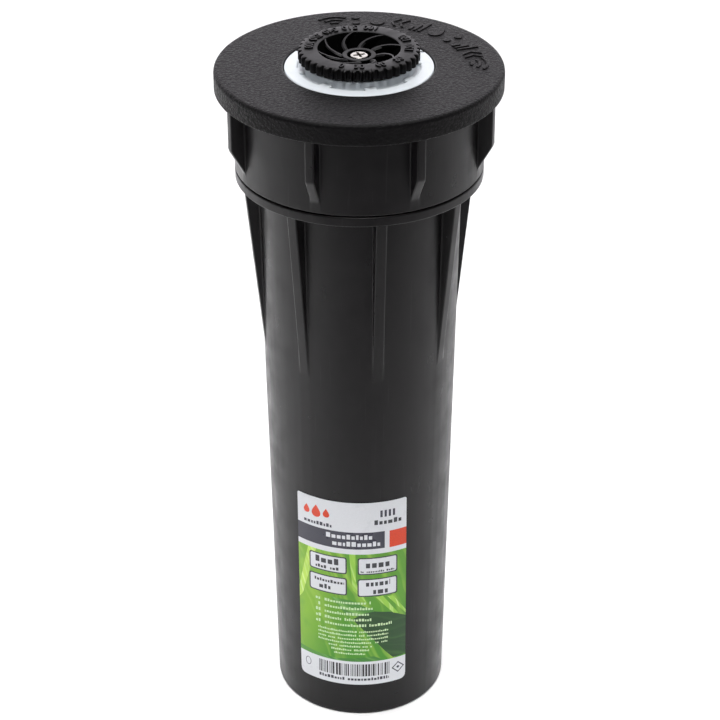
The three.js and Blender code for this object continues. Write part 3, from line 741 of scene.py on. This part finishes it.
def pictogram(kind):
    """The outlines of a symbol about 3 wide and 5 high, round its middle."""
    if kind == "drop":
        return [drop_outline(0, 0, 4.6)]
    if kind == "spray":
        return [arc_band((0, -2.4), r, 0.3, 55, 125) for r in (1.6, 3.1, 4.6)]
    if kind == "turn":
        return [chevron(-1.7, 0, 1.1, 3.8, 0.65), chevron(0.1, 0, 1.1, 3.8, 0.65)]
    if kind == "bars":
        heights = ((-1.15, 4.6), (0, 3.2), (1.15, 1.8))
        return [bar(x, (height - 4.6) / 2, 0.62, height) for x, height in heights]
    return [circle(0, y, 0.85, 14) for y in (-1.5, 1.3)]


def set_round(outline, radius, angle):
    """An upright outline laid flat round the axis, with its top outwards at that angle."""
    laid = []
    for x, y in outline:
        spot = at(radius + y, angle + math.degrees(x / radius), 0)
        laid.append((spot.x, spot.y))
    return laid


def cap():
    shell = ribbed("cap_moulding", cap_outline(), grip_crest, RIBS, GRIP_FIRST, GRIP_WIDTH,
                   foot=0.35, edge=0.35, between=11, root_r=RING_R)
    thread = wound("cap_thread", thread_tooth(CAP_CREST, CAP_BORE + 0.5, 0.3, 0.85, 134.1), 2.25,
                   THREAD_LEAD, taper=40, root=CAP_BORE + 0.4)
    shell = combined(shell, thread)
    kinds = ("spray", "rings", "drop", "turn", "bars", "drop", "rings", "bars", "turn", "spray")
    marks = []
    for i, kind in enumerate(kinds):
        angle = MARKS_FROM + (MARKS_TO - MARKS_FROM) * i / (len(kinds) - 1)
        for outline in pictogram(kind):
            laid = set_round(outline, MARK_R, angle)
            marks.append(prism("mark", laid, CAP_TOP - 0.3, CAP_TOP + MARK_HEIGHT, 0.15))
    gate = turned("gate", [(0, CAP_TOP - 0.2), (0.45, CAP_TOP - 0.2), (0.4, CAP_TOP + 0.08, 0.1),
                           (0, CAP_TOP + 0.05)], 20)
    gate.data.transform(Matrix.Translation(at(GATE_R, GATE_AT, 0) * MM))
    shell = merged([shell, *marks, gate])
    made = finished(shell, [BLACK, GRAIN], "cap", "cap")
    paint(made, 1, lambda spot, normal: spot.z > FLANGE_Z + 0.1 and spot.xy.length > OPENING_R + 0.2)


# ---- Label ----

def greeked(left, right, low, height):
    """A row of small blocks that stands for a line of print."""
    blocks = []
    u = left
    while u < right:
        width = min(height * DICE.uniform(0.4, 0.8), right - u)
        top = low + height * DICE.choice((0.72, 0.72, 1.0))
        if DICE.random() > 0.08 and width > 0.1:
            blocks.append(box_outline(u, low, u + width, top))
        u += width + height * 0.24
    return blocks


def framed(left, low, right, high):
    """A white box with a dark outline: the outline's own shape, then the white inside it."""
    line = 0.3
    middle = box_outline(left + line, low + line, right - line, high - line, 0.4)
    return [("frame", box_outline(left, low, right, high, 0.6)), ("paper", middle)]


def bar_stripes(left, right, low, high):
    """Upright bars of uneven width."""
    stripes = []
    u = left
    while u < right:
        width = DICE.choice((0.16, 0.16, 0.3, 0.45))
        stripes.append(box_outline(u, low, min(u + width, right), high))
        u += width + DICE.choice((0.18, 0.18, 0.34))
    return stripes


def artwork():
    """What is printed, as (ink, outline) from the bottom layer up, in millimetres across and up the label."""
    wide, tall = LABEL_WIDTH, LABEL_HEIGHT
    edge = rounded([(0, 0, 1.5), (wide, 0, 1.5), (wide, tall, 0.4), (0, tall, 0.4)], 4)
    art = [("paper", [tuple(p) for p in edge]),
           ("grass", [(0, 6.3), (wide, 6.3), (wide, 34.9), (0, 34.9)]),
           ("blade", [(2.6, 34.9), (4.6, 34.9), (1.0, 22.0), (0, 20.4), (0, 23.5)]),
           ("blade", [(11.9, 34.9), (13.2, 34.9), (13.3, 27.5), (15.6, 22.0), (12.6, 25.6)]),
           ("shade", [(7.8, 23.2), (12.0, 22.9), (17.2, 20.1), (15.2, 18.2), (11.0, 19.2)]),
           ("blade", [(17.4, 23.6), (19.0, 23.7), (22.6, 18.2), (21.5, 18.5)]),
           ("blade", [(20.0, 23.4), (21.2, 23.4), (wide, 18.6), (wide, 17.7)]),
           ("leaf", [(12.5, 17.8), (14.6, 19.3), (17.2, 19.8), (20.6, 19.1), (wide, 17.1), (wide, 6.6),
                     (21.3, 6.6), (19.6, 8.6), (18.2, 10.6), (15.6, 14.0)]),
           ("shade", [(0, 6.3), (0, 7.6), (9.0, 6.9), (17.0, 7.7), (19.5, 6.3)]),
           ("slate", [(0, 36.2), (19.4, 36.2), (19.4, 40.5), (0, 40.5)]),
           ("orange", [(20.45, 36.1), (wide, 36.1), (wide, 40.4), (20.45, 40.4)])]
    for place in ((2.9, 29.6, 11.4, 34.0), (13.65, 29.55, 22.25, 34.0), (2.8, 24.0, 11.4, 28.6),
                  (13.6, 23.8, 22.25, 28.5)):
        art += framed(*place)
    print_lines = (("frame", 4.4, 9.9, 31.7, 1.6), ("frame", 4.4, 9.6, 30.3, 0.8),
                   ("frame", 15.4, 20.6, 31.3, 1.7), ("frame", 14.3, 21.7, 30.1, 0.5),
                   ("frame", 3.5, 10.8, 26.8, 0.8), ("frame", 5.2, 9.0, 25.0, 1.2),
                   ("frame", 15.4, 20.6, 26.5, 1.4), ("frame", 15.4, 20.4, 24.4, 1.5),
                   ("paper", 5.0, 18.5, 38.7, 1.2), ("paper", 8.3, 18.5, 36.9, 1.2),
                   ("slate", 1.7, 8.2, 41.2, 0.9), ("frame", 17.2, 23.3, 42.3, 1.2))
    lines = [(colour, greeked(*place)) for colour, *place in print_lines]
    lines += [("frame", bar_stripes(4.85, 20.5, 2.3, 5.6)), ("slate", greeked(4.9, 20.4, 1.1, 0.8))]
    for i in range(5):
        lines.append(("pale", greeked(6.4, (16.4, 16.8, 16.0, 16.6, 21.0)[i], 21.8 - 1.5 * i, 0.7)))
        lines.append(("pale", greeked(4.3, 5.5, 21.8 - 1.5 * i, 0.8)))
    for i in range(7):
        inset = 0.6 * i if i > 3 else 0
        lines.append(("pale", greeked(4.8 + inset, 20.2 - 1.4 * inset, 14.2 - i, 0.5)))
    art += [(colour, outline) for colour, row in lines for outline in row]
    art += [("orange", drop_outline(u, 44.6, size)) for u, size in ((2.4, 2.2), (4.7, 3.1), (7.0, 2.2))]
    art += [("slate", bar(18.7 + 0.9 * i, 45.0, 0.5, 1.7)) for i in range(4)]
    oval = [(2.1 + 0.75 * x, 3.9 + 1.1 * y) for x, y in circle(0, 0, 1)]
    art += [("slate", oval), ("paper", [(2.1 + (u - 2.1) * 0.8, 3.9 + (v - 3.9) * 0.86) for u, v in oval])]
    for size, colour in ((1.5, "slate"), (1.15, "paper"), (0.4, "slate")):
        art.append((colour, [(22.5, 3.6 - size), (22.5 + size, 3.6), (22.5, 3.6 + size), (22.5 - size, 3.6)]))
    return art


def inside(outline, u, v):
    """True if a point lies inside an outline, by counting the edges to its right."""
    hit = False
    for (u1, v1), (u2, v2) in zip(outline, [*outline[1:], outline[0]]):
        if (v1 > v) != (v2 > v) and u < u1 + (v - v1) / (v2 - v1) * (u2 - u1):
            hit = not hit
    return hit


def top_layer(art, spot):
    """The uppermost layer of the artwork at a point, or None off the label."""
    if not inside(art[0][1], *spot):
        return None
    for layer in range(len(art) - 1, -1, -1):
        if inside(art[layer][1], *spot):
            return layer
    return None


def label_point(u, v, lift):
    z = LABEL_FOOT + v
    return at(case_radius(z) + lift, LABEL_MIDDLE + math.degrees((u - LABEL_WIDTH / 2) / case_radius(z)), z)


def label():
    inks = {"paper": ink("print_white", linear(215, 217, 221), 0.02),
            "slate": ink("print_slate", linear(56, 56, 69)),
            "frame": ink("print_dark", linear(52, 52, 58)),
            "orange": ink("print_orange", linear(218, 60, 10)),
            "pale": ink("print_pale", linear(196, 222, 172))}
    for name, *look in (
            ("grass", (68, 140, 28), (124, 174, 28), (166, 204, 76), (0.9, 0.35, 3.0)),
            ("blade", (132, 190, 60), (180, 216, 80), (214, 236, 150), (0.9, 0.35, 0.8)),
            ("shade", (60, 124, 44), (92, 156, 44), (120, 180, 80), (0.5, 0.8, 1.6)),
            ("leaf", (22, 66, 20), (40, 86, 26), (52, 98, 36), (0.35, 0.94, 2.2))):
        inks[name] = foliage_print("print_" + name, *look)
    art = artwork()
    corners, lines, outlines = [], [], []
    for _, outline in art:
        outlines.append(list(range(len(corners), len(corners) + len(outline))))
        corners += [Vector(p) for p in outline]
    steps = 32
    for k in range(1, steps):
        u = LABEL_WIDTH * k / steps
        lines.append((len(corners), len(corners) + 1))
        corners += [Vector((u, -1)), Vector((u, LABEL_HEIGHT + 1))]
    spots, _, triangles, *_ = geometry.delaunay_2d_cdt(corners, lines, outlines, 0, 1e-5)
    tops = [top_layer(art, sum((spots[i] for i in t), Vector((0, 0))) / 3) for t in triangles]
    kept = [(t, top) for t, top in zip(triangles, tops) if top is not None]
    count = len(spots)
    points = [label_point(u, v, FILM_GAP + FILM_THICK) for u, v in spots]
    points += [label_point(u, v, FILM_GAP) for u, v in spots]
    faces = [tuple(t) for t, _ in kept] + [tuple(count + i for i in reversed(t)) for t, _ in kept]
    sides = {(t[i], t[(i + 1) % 3]) for t, _ in kept for i in range(3)}
    faces += [(b, a, count + a, count + b) for a, b in sides if (b, a) not in sides]
    mesh = bpy.data.meshes.new("label_film")
    mesh.from_pydata([p * MM for p in points], [], faces)
    place = mesh.attributes.new("print_place", "FLOAT_VECTOR", "POINT")
    place.data.foreach_set("vector", [c * MM for u, v in [*spots, *spots] for c in (u, v, 0)])
    finished(placed("label_film", mesh), list(inks.values()), "case", "label", sharp=50,
             weighted=False)
    order = list(inks)
    for i, (_, layer) in enumerate(kept):
        mesh.polygons[i].material_index = order.index(art[layer][0])
    with editing(mesh) as work:
        bmesh.ops.delete(work, geom=[v for v in work.verts if not v.link_faces], context="VERTS")


# ---- Seal stack ----

def wiper_seal():
    low, high = reach("wiper_seal")[1:]
    seal = turned("wiper_seal_ring", [
        (19.0, low, 0.3), (19.0, high, 0.3), (13.4, high, 0.2), (12.6, high - 0.8, 0.3),
        (10.75, high - 0.2, 0.1), (10.35, high - 0.6, 0.1), (12.2, (low + high) / 2, 0.4),
        (10.35, low + 0.4, 0.1), (10.75, low, 0.1)])
    finished(seal, RUBBER, "seal_stack", "wiper_seal")


def spring_retainer():
    radius, low, high = reach("spring_retainer")
    shoulder = low + 2.5
    ring = turned("spring_retainer_ring", [
        (10.6, low, 0.2), (11.2, low, 0.2), (11.2, shoulder, 0.2), (radius, shoulder, 0.3),
        (radius, high, 0.3), (10.6, high, 0.2)])
    holes = around(12, 15, lambda a: drilled(15.3, a, 1.0, shoulder - 1, shoulder + 0.9))
    finished(combined(ring, holes, "DIFFERENCE"), GREY, "seal_stack", "spring_retainer")


def retract_spring():
    wire = 0.6
    radius, low, high = reach("retract_spring")
    turns, closed = 11.0, 1.0
    travel = high - low - 2 * wire
    flat = 2 * wire + 0.02

    def climb(t):
        done = t * turns
        open_lead = (travel - 2 * closed * flat) / (turns - 2 * closed)
        if done < closed:
            return done * flat
        if done > turns - closed:
            return travel - (turns - done) * flat
        return closed * flat + (done - closed) * open_lead

    section = circle(radius - wire, high - wire, wire, 14)
    spring = wound("retract_spring_wire", section, turns, 0, sides=48, climb=climb)
    finished(spring, WIRE, "seal_stack", "retract_spring", sharp=60, weighted=False)
    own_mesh(spring)


# ---- Sleeve ----

def ratchet_sleeve():
    radius, low, high = reach("ratchet_sleeve")
    ledge = high - 2.2
    body = turned("ratchet_sleeve_moulding", [
        (13.0, low, 0.3), (radius, low, 0.4), (radius, high, 0.4), (10.4, high, 0.2), (10.4, ledge, 0.2),
        (13.0, ledge, 0.2)])
    pawl = box_outline(12.75, low + 1, 13.6, ledge + 0.6)
    keyway = box_outline(13.8, low - 1, radius + 1, high + 1)
    body = combined(body, around(4, 45, lambda a: plate("pawl", pawl, 1.5, a)))
    body = combined(body, around(4, 0, lambda a: plate("keyway", keyway, 2.4, a)), "DIFFERENCE")
    finished(bevelled(body, 0.08, segments=1), GREY, "sleeve", "ratchet_sleeve")


def drain_check_seal():
    radius, low, high = reach("drain_check_seal")
    seal = turned("drain_check_seal_ring", [
        (8.3, low, 0.2), (radius - 0.5, low, 0.2), (radius, low + 0.5, 0.2), (radius, high, 0.2),
        (8.3, high, 0.2)])
    finished(seal, RUBBER, "sleeve", "drain_check_seal")


def washer(name, node, bore, material, body):
    """A flat ring as wide and as tall as its node."""
    radius, low, high = reach(node)
    ring = turned(name, [(bore, low, 0.15), (radius, low, 0.2), (radius, high, 0.2), (bore, high, 0.15)])
    finished(ring, material, body, node)


# ---- Riser ----

def riser_stem():
    flange_z, rim_z, groove_z, lip_z = 142.6, 145.9, 145.4, 147.15
    brim = RISER_FLANGE_R + 0.2
    tube = turned("riser_stem_moulding", [
        (STEM_BORE, STEM_FOOT, 0.3), (STEM_R, STEM_FOOT, 0.3), (STEM_R, 60.0), (STEM_R, 110.0),
        (STEM_R, flange_z, 0.6), (brim, flange_z, 0.5), (brim, rim_z, 0.35), (GROOVE_R, rim_z, 0.3),
        (GROOVE_R, groove_z, 0.3), (COLLAR_R, groove_z, 0.3), (COLLAR_R, lip_z, 0.2), (LIP_R, lip_z, 0.2),
        (LIP_R, COLLAR_TOP), (SOCKET_R, COLLAR_TOP, 0.3), (SOCKET_R, 131.0, 0.2),
        (STEM_BORE, 130.4, 0.2)], 128)
    block = box_outline(COLLAR_R - 0.6, groove_z - 0.6, BLOCK_R, rim_z + 0.03)
    tube = combined(tube, around(RIBS, BLOCKS_FIRST, lambda a: plate("block", block, 2.5, a, 0.3)))
    notch = box_outline(13.9, rim_z - 1.0, 15.5, rim_z + 2)
    step = box_outline(13.5, rim_z - 0.5, 15.5, rim_z + 2)
    cuts = merged([plate("notch", notch, 0.9, NOTCH_AT), plate("step", step, 3.2, STEP_AT)])
    finished(combined(tube, cuts, "DIFFERENCE"), WHITE, "riser", "riser_stem")


def ratchet_ring():
    tip, low, high = reach("ratchet_ring")
    teeth, root, bore, edge = 24, tip - 0.6, 10.3, 0.12
    angles, radii = [], []
    for i in range(teeth):
        for share, radius in ((0, tip), (0.2, root), (0.6, root + (tip - root) * 0.5)):
            angles.append((i + share) * 360 / teeth)
            radii.append(radius)
    rows = [[at(bore, a, low) for a in angles]]
    for z, inset in ((low, edge), (low + edge, 0), (high - edge, 0), (high, edge)):
        rows.append([at(r - inset, a, z) for r, a in zip(radii, angles)])
    rows.append([at(bore, a, high) for a in angles])
    ring = as_object("ratchet_ring_moulding", *sheet_of(rows))
    finished(ring, WHITE, "riser", "ratchet_ring")


def filter_screen():
    radius, low, high = reach("filter_screen")
    tube, bore, socket = 7.0, 6.0, 131.3
    basket = turned("filter_basket", [
        (0, low), (tube, low, 0.8), (tube, socket, 0.2), (radius, socket, 0.3), (radius, high, 0.3),
        (bore, high, 0.2), (bore, low + 1.2, 0.5), (0, low + 1.2)])
    rows = 3
    pitch = (socket - low - 5) / rows
    for k in range(rows):
        foot = low + 3 + k * pitch
        slot = box_outline(bore - 1, foot, tube + 1, foot + pitch - 1.4)
        slots = around(12, 0, lambda a, slot=slot: plate("slot", slot, 1.0, a))
        basket = combined(basket, slots, "DIFFERENCE")
    finished(basket, GREY, "riser", "filter_screen")


def nozzle_base():
    radius, low, high = reach("nozzle_base")
    ring_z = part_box("nozzle_oring")[0].z / MM + 0.5
    groove = radius - 1.3
    tube = turned("nozzle_base_moulding", [
        (6.0, low, 0.2), (radius, low, 0.2), (radius, ring_z - 0.8, 0.1), (groove, ring_z - 0.8, 0.1),
        (groove, ring_z + 0.8, 0.1), (radius, ring_z + 0.8, 0.1), (radius, high, 0.2), (7.4, high, 0.2),
        (7.4, 140.0, 0.1), (6.0, 140.0, 0.2)])
    finished(tube, WHEEL_BLACK, "riser", "nozzle_base")


def o_ring(name, node, radius, section, body):
    low, high = reach(node)[1:]
    ring = turned(name, circle(radius, (low + high) / 2, section, 16))
    finished(ring, RUBBER, body, node, sharp=60, weighted=False)


def deflector_core():
    radius, low, high = reach("deflector_core")
    disc_z = high - 1.2
    disc = turned("deflector_core_moulding", [
        (1.5, low, 0.2), (3.0, low, 0.3), (3.0, disc_z, 0.3), (radius, disc_z, 0.2), (radius, high, 0.2),
        (1.5, high, 0.2)])
    ports = around(6, 90, lambda a: drilled(5.0, a, 1.5, disc_z - 1, high + 1))
    finished(combined(disc, ports, "DIFFERENCE"), WHEEL_BLACK, "riser", "deflector_core")


# ---- Arc wheel ----

def wheel_outline():
    return rounded([
        (BOWL_FOOT_R, BOWL_FOOT, 0.2), (7.0, BOWL_FOOT, 0.2), (7.0, KNURL_FOOT, 0.2),
        (TOOTH_ROOT, KNURL_FOOT, 0.12), (TOOTH_ROOT, BAND_Z - 0.7), (TOOTH_ROOT, BAND_Z - 0.4),
        (TOOTH_ROOT, BAND_Z, 0.3), (9.6, BAND_Z), (BOWL_TOP_R, BAND_Z, 0.25), (BOWL_FOOT_R, CONE_FOOT, 0.3)])


def knurl_crest(r, z):
    """Where a tooth of the rim stands over a point of the wheel's outline."""
    if r < TOOTH_ROOT - 0.35:
        return r, z
    full = WHEEL_R - TOOTH_ROOT
    above = max(0, z - (BAND_Z - 0.7)) / 0.7
    inward = max(0, TOOTH_ROOT - r) / 0.35
    below = max(0, KNURL_FOOT + 0.15 - z)
    rise = full * math.sqrt(max(0, 1 - above ** 3)) * (1 - inward) - below * 0.8
    return max(r, r + rise), z - 0.05 * above * (1 - inward)


def vane(angle):
    """A thin upright blade that swirls back as it comes in from the bowl to the hub."""
    inner, outer, steps = HUB_R - 0.5, BOWL_TOP_R - 0.1, 14
    foot, half, soft = 145.4, 0.55, 0.3
    cone = (BOWL_TOP_R - BOWL_FOOT_R) / (WHEEL_TOP - CONE_FOOT)
    rows = []
    for k in range(steps + 1):
        t = k / steps
        radius = inner + (outer - inner) * t
        turn = angle + VANE_SWIRL * (1 - t ** VANE_CURVE)
        low = max(foot, CONE_FOOT + (radius + 0.25 - BOWL_FOOT_R) / cone - 0.35)
        high = 147.95 + 1.6 * t ** 0.8
        low = min(low, high - 2 * soft)
        lean = math.degrees(half / radius)
        edge = math.degrees(soft / radius)
        rows.append([at(radius, turn + side, z) for side, z in (
            (-lean, low), (lean, low), (lean, high - soft), (lean - edge, high), (edge - lean, high),
            (-lean, high - soft))])
    return bar_through("vane", rows)


def digits(text, angle, low, high):
    """Raised numbers laid round the axis."""
    curve = bpy.data.curves.new("digits", "FONT")
    curve.body = text
    curve.size = DIAL_SIZE
    curve.align_x = "CENTER"
    curve.align_y = "CENTER"
    curve.offset = 0.02
    curve.resolution_u = 3
    curve.extrude = (high - low) / 2
    holder = placed("digits", curve)
    flat = evaluated(holder)
    bpy.data.objects.remove(holder)
    points = [at(DIAL_R + y, angle + math.degrees(DIAL_SQUEEZE * x / DIAL_R), (low + high) / 2 + z)
              for x, y, z in (vertex.co for vertex in flat.vertices)]
    return as_object("digits", points, [tuple(face.vertices) for face in flat.polygons])


def arc_wheel():
    def groove(i):
        """Only the teeth at the front are cut along their middle."""
        angle = (TOOTH_FIRST + 360 * i / TEETH + 180) % 360 - 180
        return 0.45 if GROOVED_TEETH[0] < angle < GROOVED_TEETH[1] else 0

    rim = ribbed("arc_wheel_moulding", wheel_outline(), knurl_crest, TEETH, TOOTH_FIRST, 1.1,
                 foot=0.2, edge=0.42, between=1, root_r=TOOTH_ROOT, groove=groove)
    hub = turned("hub", [(2.3, 145.0, 0.2), (HUB_R, 145.0, 0.2), (HUB_R, 148.3, 0.35), (2.3, 148.3, 0.3)], 64)
    wheel = combined(rim, hub)
    wheel = combined(wheel, around(VANES, VANE_FIRST, vane))
    scale = [digits(text, angle, BAND_Z - 0.2, WHEEL_TOP) for text, angle in DIAL]
    made = finished(merged([wheel, *scale]), [WHEEL_BLACK, BOWL_PAINTED_SHADE], "wheel", "arc_wheel")

    def in_painted_shade(centre, normal):
        """True on the bowl's cone and on everything upright inside it, the faces that get the painted shade.
        """
        radius = centre.xy.length
        inward = -centre.xy.dot(normal.xy) / radius
        return radius < BOWL_TOP_R - 0.05 and (normal.z < 0.6 or (inward > 0.5 and radius > HUB_R + 1))

    # Painted shade: the bowl's cone and every face inside it not turned upwards are made near black
    paint(made, 1, in_painted_shade)


# ---- Radius screw ----

def radius_screw():
    head, arm = 147.2, 1.2
    screw = turned("radius_screw_turned", [
        (0, SCREW_FOOT), (1.2, SCREW_FOOT, 0.3), (1.2, head, 0.1), (HEAD_R, head, 0.15),
        (HEAD_R, SCREW_TOP, 0.3), (0, SCREW_TOP)], 64)
    recess = box_outline(-arm, SCREW_TOP - 0.9, arm, SCREW_TOP + 1)
    for angle in (20, 110):
        screw = combined(screw, plate("recess", recess, 0.55, angle), "DIFFERENCE")
    screw = bevelled(screw, 0.05, above(SCREW_TOP - 0.5))
    finished(screw, STEEL, "screw", "radius_screw", sharp=25)


def throttle_plug():
    radius, low, high = reach("throttle_plug")
    plug = turned("throttle_plug_turned", [
        (1.5, low, 0.1), (2.1, low, 0.2), (radius, low + 2.2, 0.5), (radius, high, 0.3),
        (1.5, high, 0.1)], 64)
    finished(plug, WHITE, "screw", "throttle_plug")


# ---- Floor, lights and camera ----

def floor():
    bpy.ops.mesh.primitive_plane_add(size=6)
    ground = bpy.context.object
    ground.name = "floor"
    paper = Surface("floor_paper", (0.95, 0.95, 0.95), 0.9, Specular_IOR_Level=0.1)
    paper.bump(paper.noise(2.0, 2.0), 0.02, 0.2)
    ground.data.materials.append(paper.material)


def lamp(name, place, size, power, target, spread):
    data = bpy.data.lights.new(name, "AREA")
    data.shape = "RECTANGLE"
    data.size, data.size_y = size
    data.energy = power
    data.spread = math.radians(spread)
    made = placed(name, data)
    made.location = place
    made.rotation_euler = (Vector(target) - Vector(place)).to_track_quat("-Z", "Y").to_euler()
    made.visible_camera = False


def studio():
    """A white tent, open to the front, with softboxes over the floor round the object."""
    world = bpy.data.worlds.new("studio")
    bpy.context.scene.world = world
    world.use_nodes = True
    tree = world.node_tree
    way = tree.nodes.new("ShaderNodeTexCoord")
    split = tree.nodes.new("ShaderNodeSeparateXYZ")
    fade = tree.nodes.new("ShaderNodeMapRange")
    tree.links.new(way.outputs["Generated"], split.inputs[0])
    tree.links.new(split.outputs["Y"], fade.inputs["Value"])
    for socket, value in (("From Min", 0.15), ("From Max", 0.95), ("To Min", 0.03), ("To Max", 2.15)):
        fade.inputs[socket].default_value = value
    tree.links.new(fade.outputs["Result"], tree.nodes["Background"].inputs["Strength"])
    tree.nodes["Background"].inputs["Color"].default_value = (0.98, 0.945, 1.0, 1)
    for softbox in SOFTBOXES:
        lamp(*softbox)
    bpy.context.scene.view_settings.view_transform = "Standard"


def camera():
    data = bpy.data.cameras.new("camera")
    data.lens = CAMERA_LENS
    data.sensor_width = 36
    data.clip_start = 0.01
    made = placed("camera", data)
    made.location = CAMERA_PLACE
    pitch = Matrix.Rotation(math.radians(CAMERA_PITCH), 3, "X")
    made.rotation_euler = (pitch @ Matrix.Rotation(math.radians(CAMERA_ROLL), 3, "Z")).to_euler()
    bpy.context.scene.camera = made


camera()
floor()
studio()
case()
label()
cap()
wiper_seal()
spring_retainer()
retract_spring()
ratchet_sleeve()
drain_check_seal()
washer("spring_seat_washer", "spring_seat", 10.4, WHITE, "sleeve")
riser_stem()
ratchet_ring()
filter_screen()
nozzle_base()
o_ring("nozzle_o_ring", "nozzle_oring", 7.8, 0.5, "riser")
deflector_core()
arc_wheel()
washer("arc_washer_ring", "arc_washer", 8.9, RUBBER, "wheel")
o_ring("screw_seal_ring", "screw_seal", 1.8, 0.3, "screw_ring")
radius_screw()
throttle_plug()
